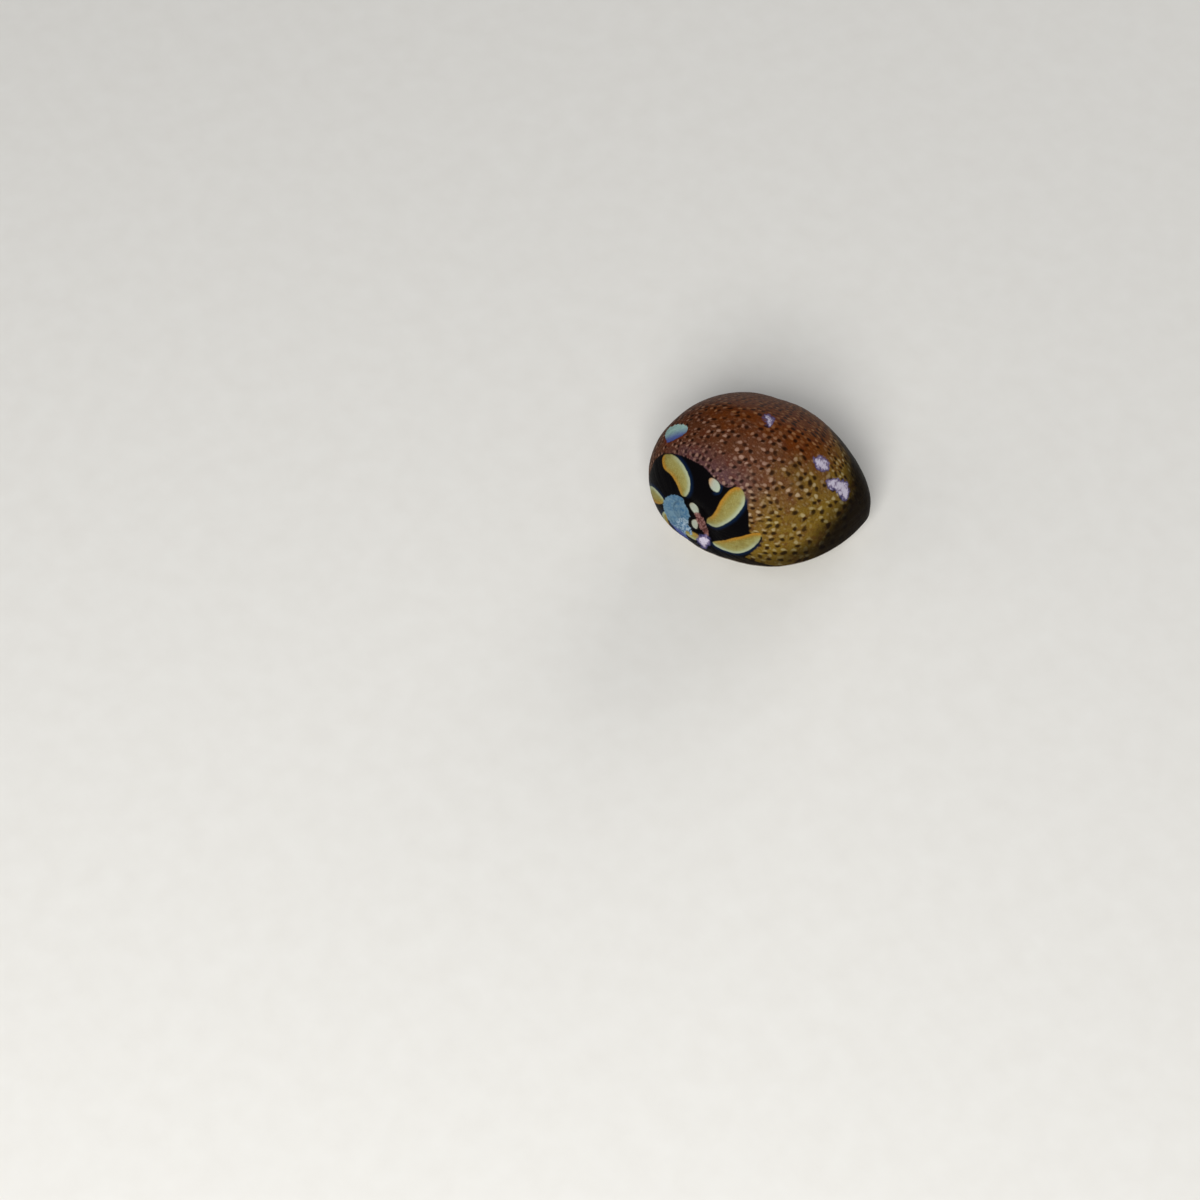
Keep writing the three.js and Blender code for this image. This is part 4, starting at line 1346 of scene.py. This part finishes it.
def lid_finish():
    """The sine of 9 times the arc's radius goes from horn to brown; the far edge is darker."""
    material, shader, place = new_finish("lid_horn")
    arcs, grain = place.field("arcs"), place.noise(4.0, 3.0, 0.6)
    wave = (arcs * 9.0 + grain * 2.0).alone("SINE")
    color = paint("A5957C", wave.step(-0.8, 0.9), "7C6A55")
    color = paint(color, arcs.step(3.6, 4.6) * 0.6, "5B3A2A")
    connect(shader, color, 0.34 + grain * 0.16, wave * 0.4 + grain, 2e-5)
    shader.inputs["Coat Weight"].default_value = 0.25
    return material


bead = eye_finish()
for eye in eyes:
    eye.data.materials.append(bead)
lid.data.materials.append(lid_finish())
print("finishes:", [material.name for material in bpy.data.materials])

# %% [markdown]
# ## The floor
# A museum model is photographed on plain pale card. A curved backdrop would hide the horizon,
# but the camera looks down steeply, so a flat sheet fills the picture. A faint fibre keeps it
# from looking like an empty render.

# %% Floor
FLOOR_SIZE = 4.0


def card_finish():
    """Pale card with a faint fibre."""
    material, shader, place = new_finish("pale_card")
    fibre = place.noise(0.4, 3.0)
    connect(shader, paint("D9D6CF", fibre, "E0DED8"), 0.7 + fibre * 0.1)
    return material


half = FLOOR_SIZE / 2
floor_corners = [(-half, -half, 0), (half, -half, 0), (half, half, 0), (-half, half, 0)]
floor_mesh = bpy.data.meshes.new("card_floor")
floor_mesh.from_pydata(floor_corners, [], [(0, 1, 2, 3)])
floor = bpy.data.objects.new("card_floor", floor_mesh)
bpy.context.collection.objects.link(floor)
floor.data.materials.append(card_finish())
print("floor:", FLOOR_SIZE, "m wide")

# %% [markdown]
# ## Light
# Small lamps would throw hard shadows over a model of this size, so the lamps are large and
# soft. The main one hangs near the camera, because the photograph shows the dome lit from
# there, with hardly a shadow. Weaker ones to the left and at the head's side, and a dim bluish
# room, keep the other sides from going black. The camera's own directions are worked out
# first, because the lamps are placed by them.

# %% Lamps and the room
CAMERA_ELEVATION, CAMERA_SIDE = math.radians(52), math.radians(55)
CAMERA_ROLL = math.radians(3.7)
LAMP_TARGET = Vector((0, 0, 0.006))
ROOM_COLOR, ROOM_LIGHT = (0.9, 0.93, 1.0, 1), 0.22


def lamp(name, place, size, power):
    """A square soft lamp that faces the model."""
    data = bpy.data.lights.new(name, "AREA")
    data.size, data.energy = size, power
    made = bpy.data.objects.new(name, data)
    made.location = place
    made.rotation_euler = (LAMP_TARGET - place).to_track_quat("-Z", "Y").to_euler()
    bpy.context.collection.objects.link(made)


toward = Vector((
    -math.sin(CAMERA_SIDE) * math.cos(CAMERA_ELEVATION),
    math.cos(CAMERA_SIDE) * math.cos(CAMERA_ELEVATION),
    math.sin(CAMERA_ELEVATION),
))
level_right = Vector((0, 0, 1)).cross(toward).normalized()
level_up = toward.cross(level_right)
right = level_right * math.cos(CAMERA_ROLL) + level_up * math.sin(CAMERA_ROLL)
above = level_up * math.cos(CAMERA_ROLL) - level_right * math.sin(CAMERA_ROLL)
lamp("key_lamp", toward * 0.42 - above * 0.09 - right * 0.04, 0.20, 1.9)
lamp("left_lamp", right * -0.35 + toward * 0.1 + Vector((0, 0, 0.16)), 0.3, 0.25)
lamp("front_lamp", Vector((0.22, -0.4, 0.15)), 0.3, 1.0)
world = bpy.data.worlds.new("soft_room")
world.use_nodes = True
background = world.node_tree.nodes["Background"]
background.inputs["Color"].default_value = ROOM_COLOR
background.inputs["Strength"].default_value = ROOM_LIGHT
bpy.context.scene.world = world
bpy.context.scene.view_settings.view_transform = "Standard"
print("lamps:", [light.name for light in bpy.data.lights])

# %% [markdown]
# ## The camera
# The photograph looks down on the dome from behind and to the right. We could move a camera
# by eye until the views agree. It is surer to work from what is known: how much of the shell
# one pixel covers, which gives the lens, and where one point of the shell lies in the
# picture. The camera looks straight at that point first, and is then swung until the point
# falls there. Blender states a lens by its millimetres before a sensor 36 mm wide.

# %% Camera
PICTURE, SENSOR, DISTANCE, PIXEL = 1200, 36.0, 0.332, 0.000095
AIM_FRONT, AIM_DEPTH, AIM_PIXEL = 3.0, 8.0, (754.4, 480.2)
aim = Vector((
    APEX_PLACE[0] - AIM_FRONT * math.cos(APEX_TURN) + AIM_DEPTH * math.sin(APEX_TURN),
    APEX_PLACE[1] - AIM_FRONT * math.sin(APEX_TURN) - AIM_DEPTH * math.cos(APEX_TURN),
    LIP_HEIGHT + APERTURE_DROP,
)) * MM
lens = DISTANCE / PIXEL
to_aim = Vector((AIM_PIXEL[0] - PICTURE / 2, PICTURE / 2 - AIM_PIXEL[1], -lens)).normalized()
swing = Vector((0, 0, -1)).rotation_difference(to_aim).to_matrix()
axes = Matrix((right, above, toward)).transposed() @ swing.transposed()
camera_data = bpy.data.cameras.new("camera")
camera_data.sensor_width, camera_data.lens = SENSOR, lens / PICTURE * SENSOR
camera_data.clip_start, camera_data.clip_end = 0.01, 10
camera = bpy.data.objects.new("camera", camera_data)
camera.matrix_world = Matrix.Translation(aim + toward * DISTANCE) @ axes.to_4x4()
bpy.context.collection.objects.link(camera)
bpy.context.scene.camera = camera
print("lens in mm:", round(camera_data.lens, 1))

# %% [markdown]
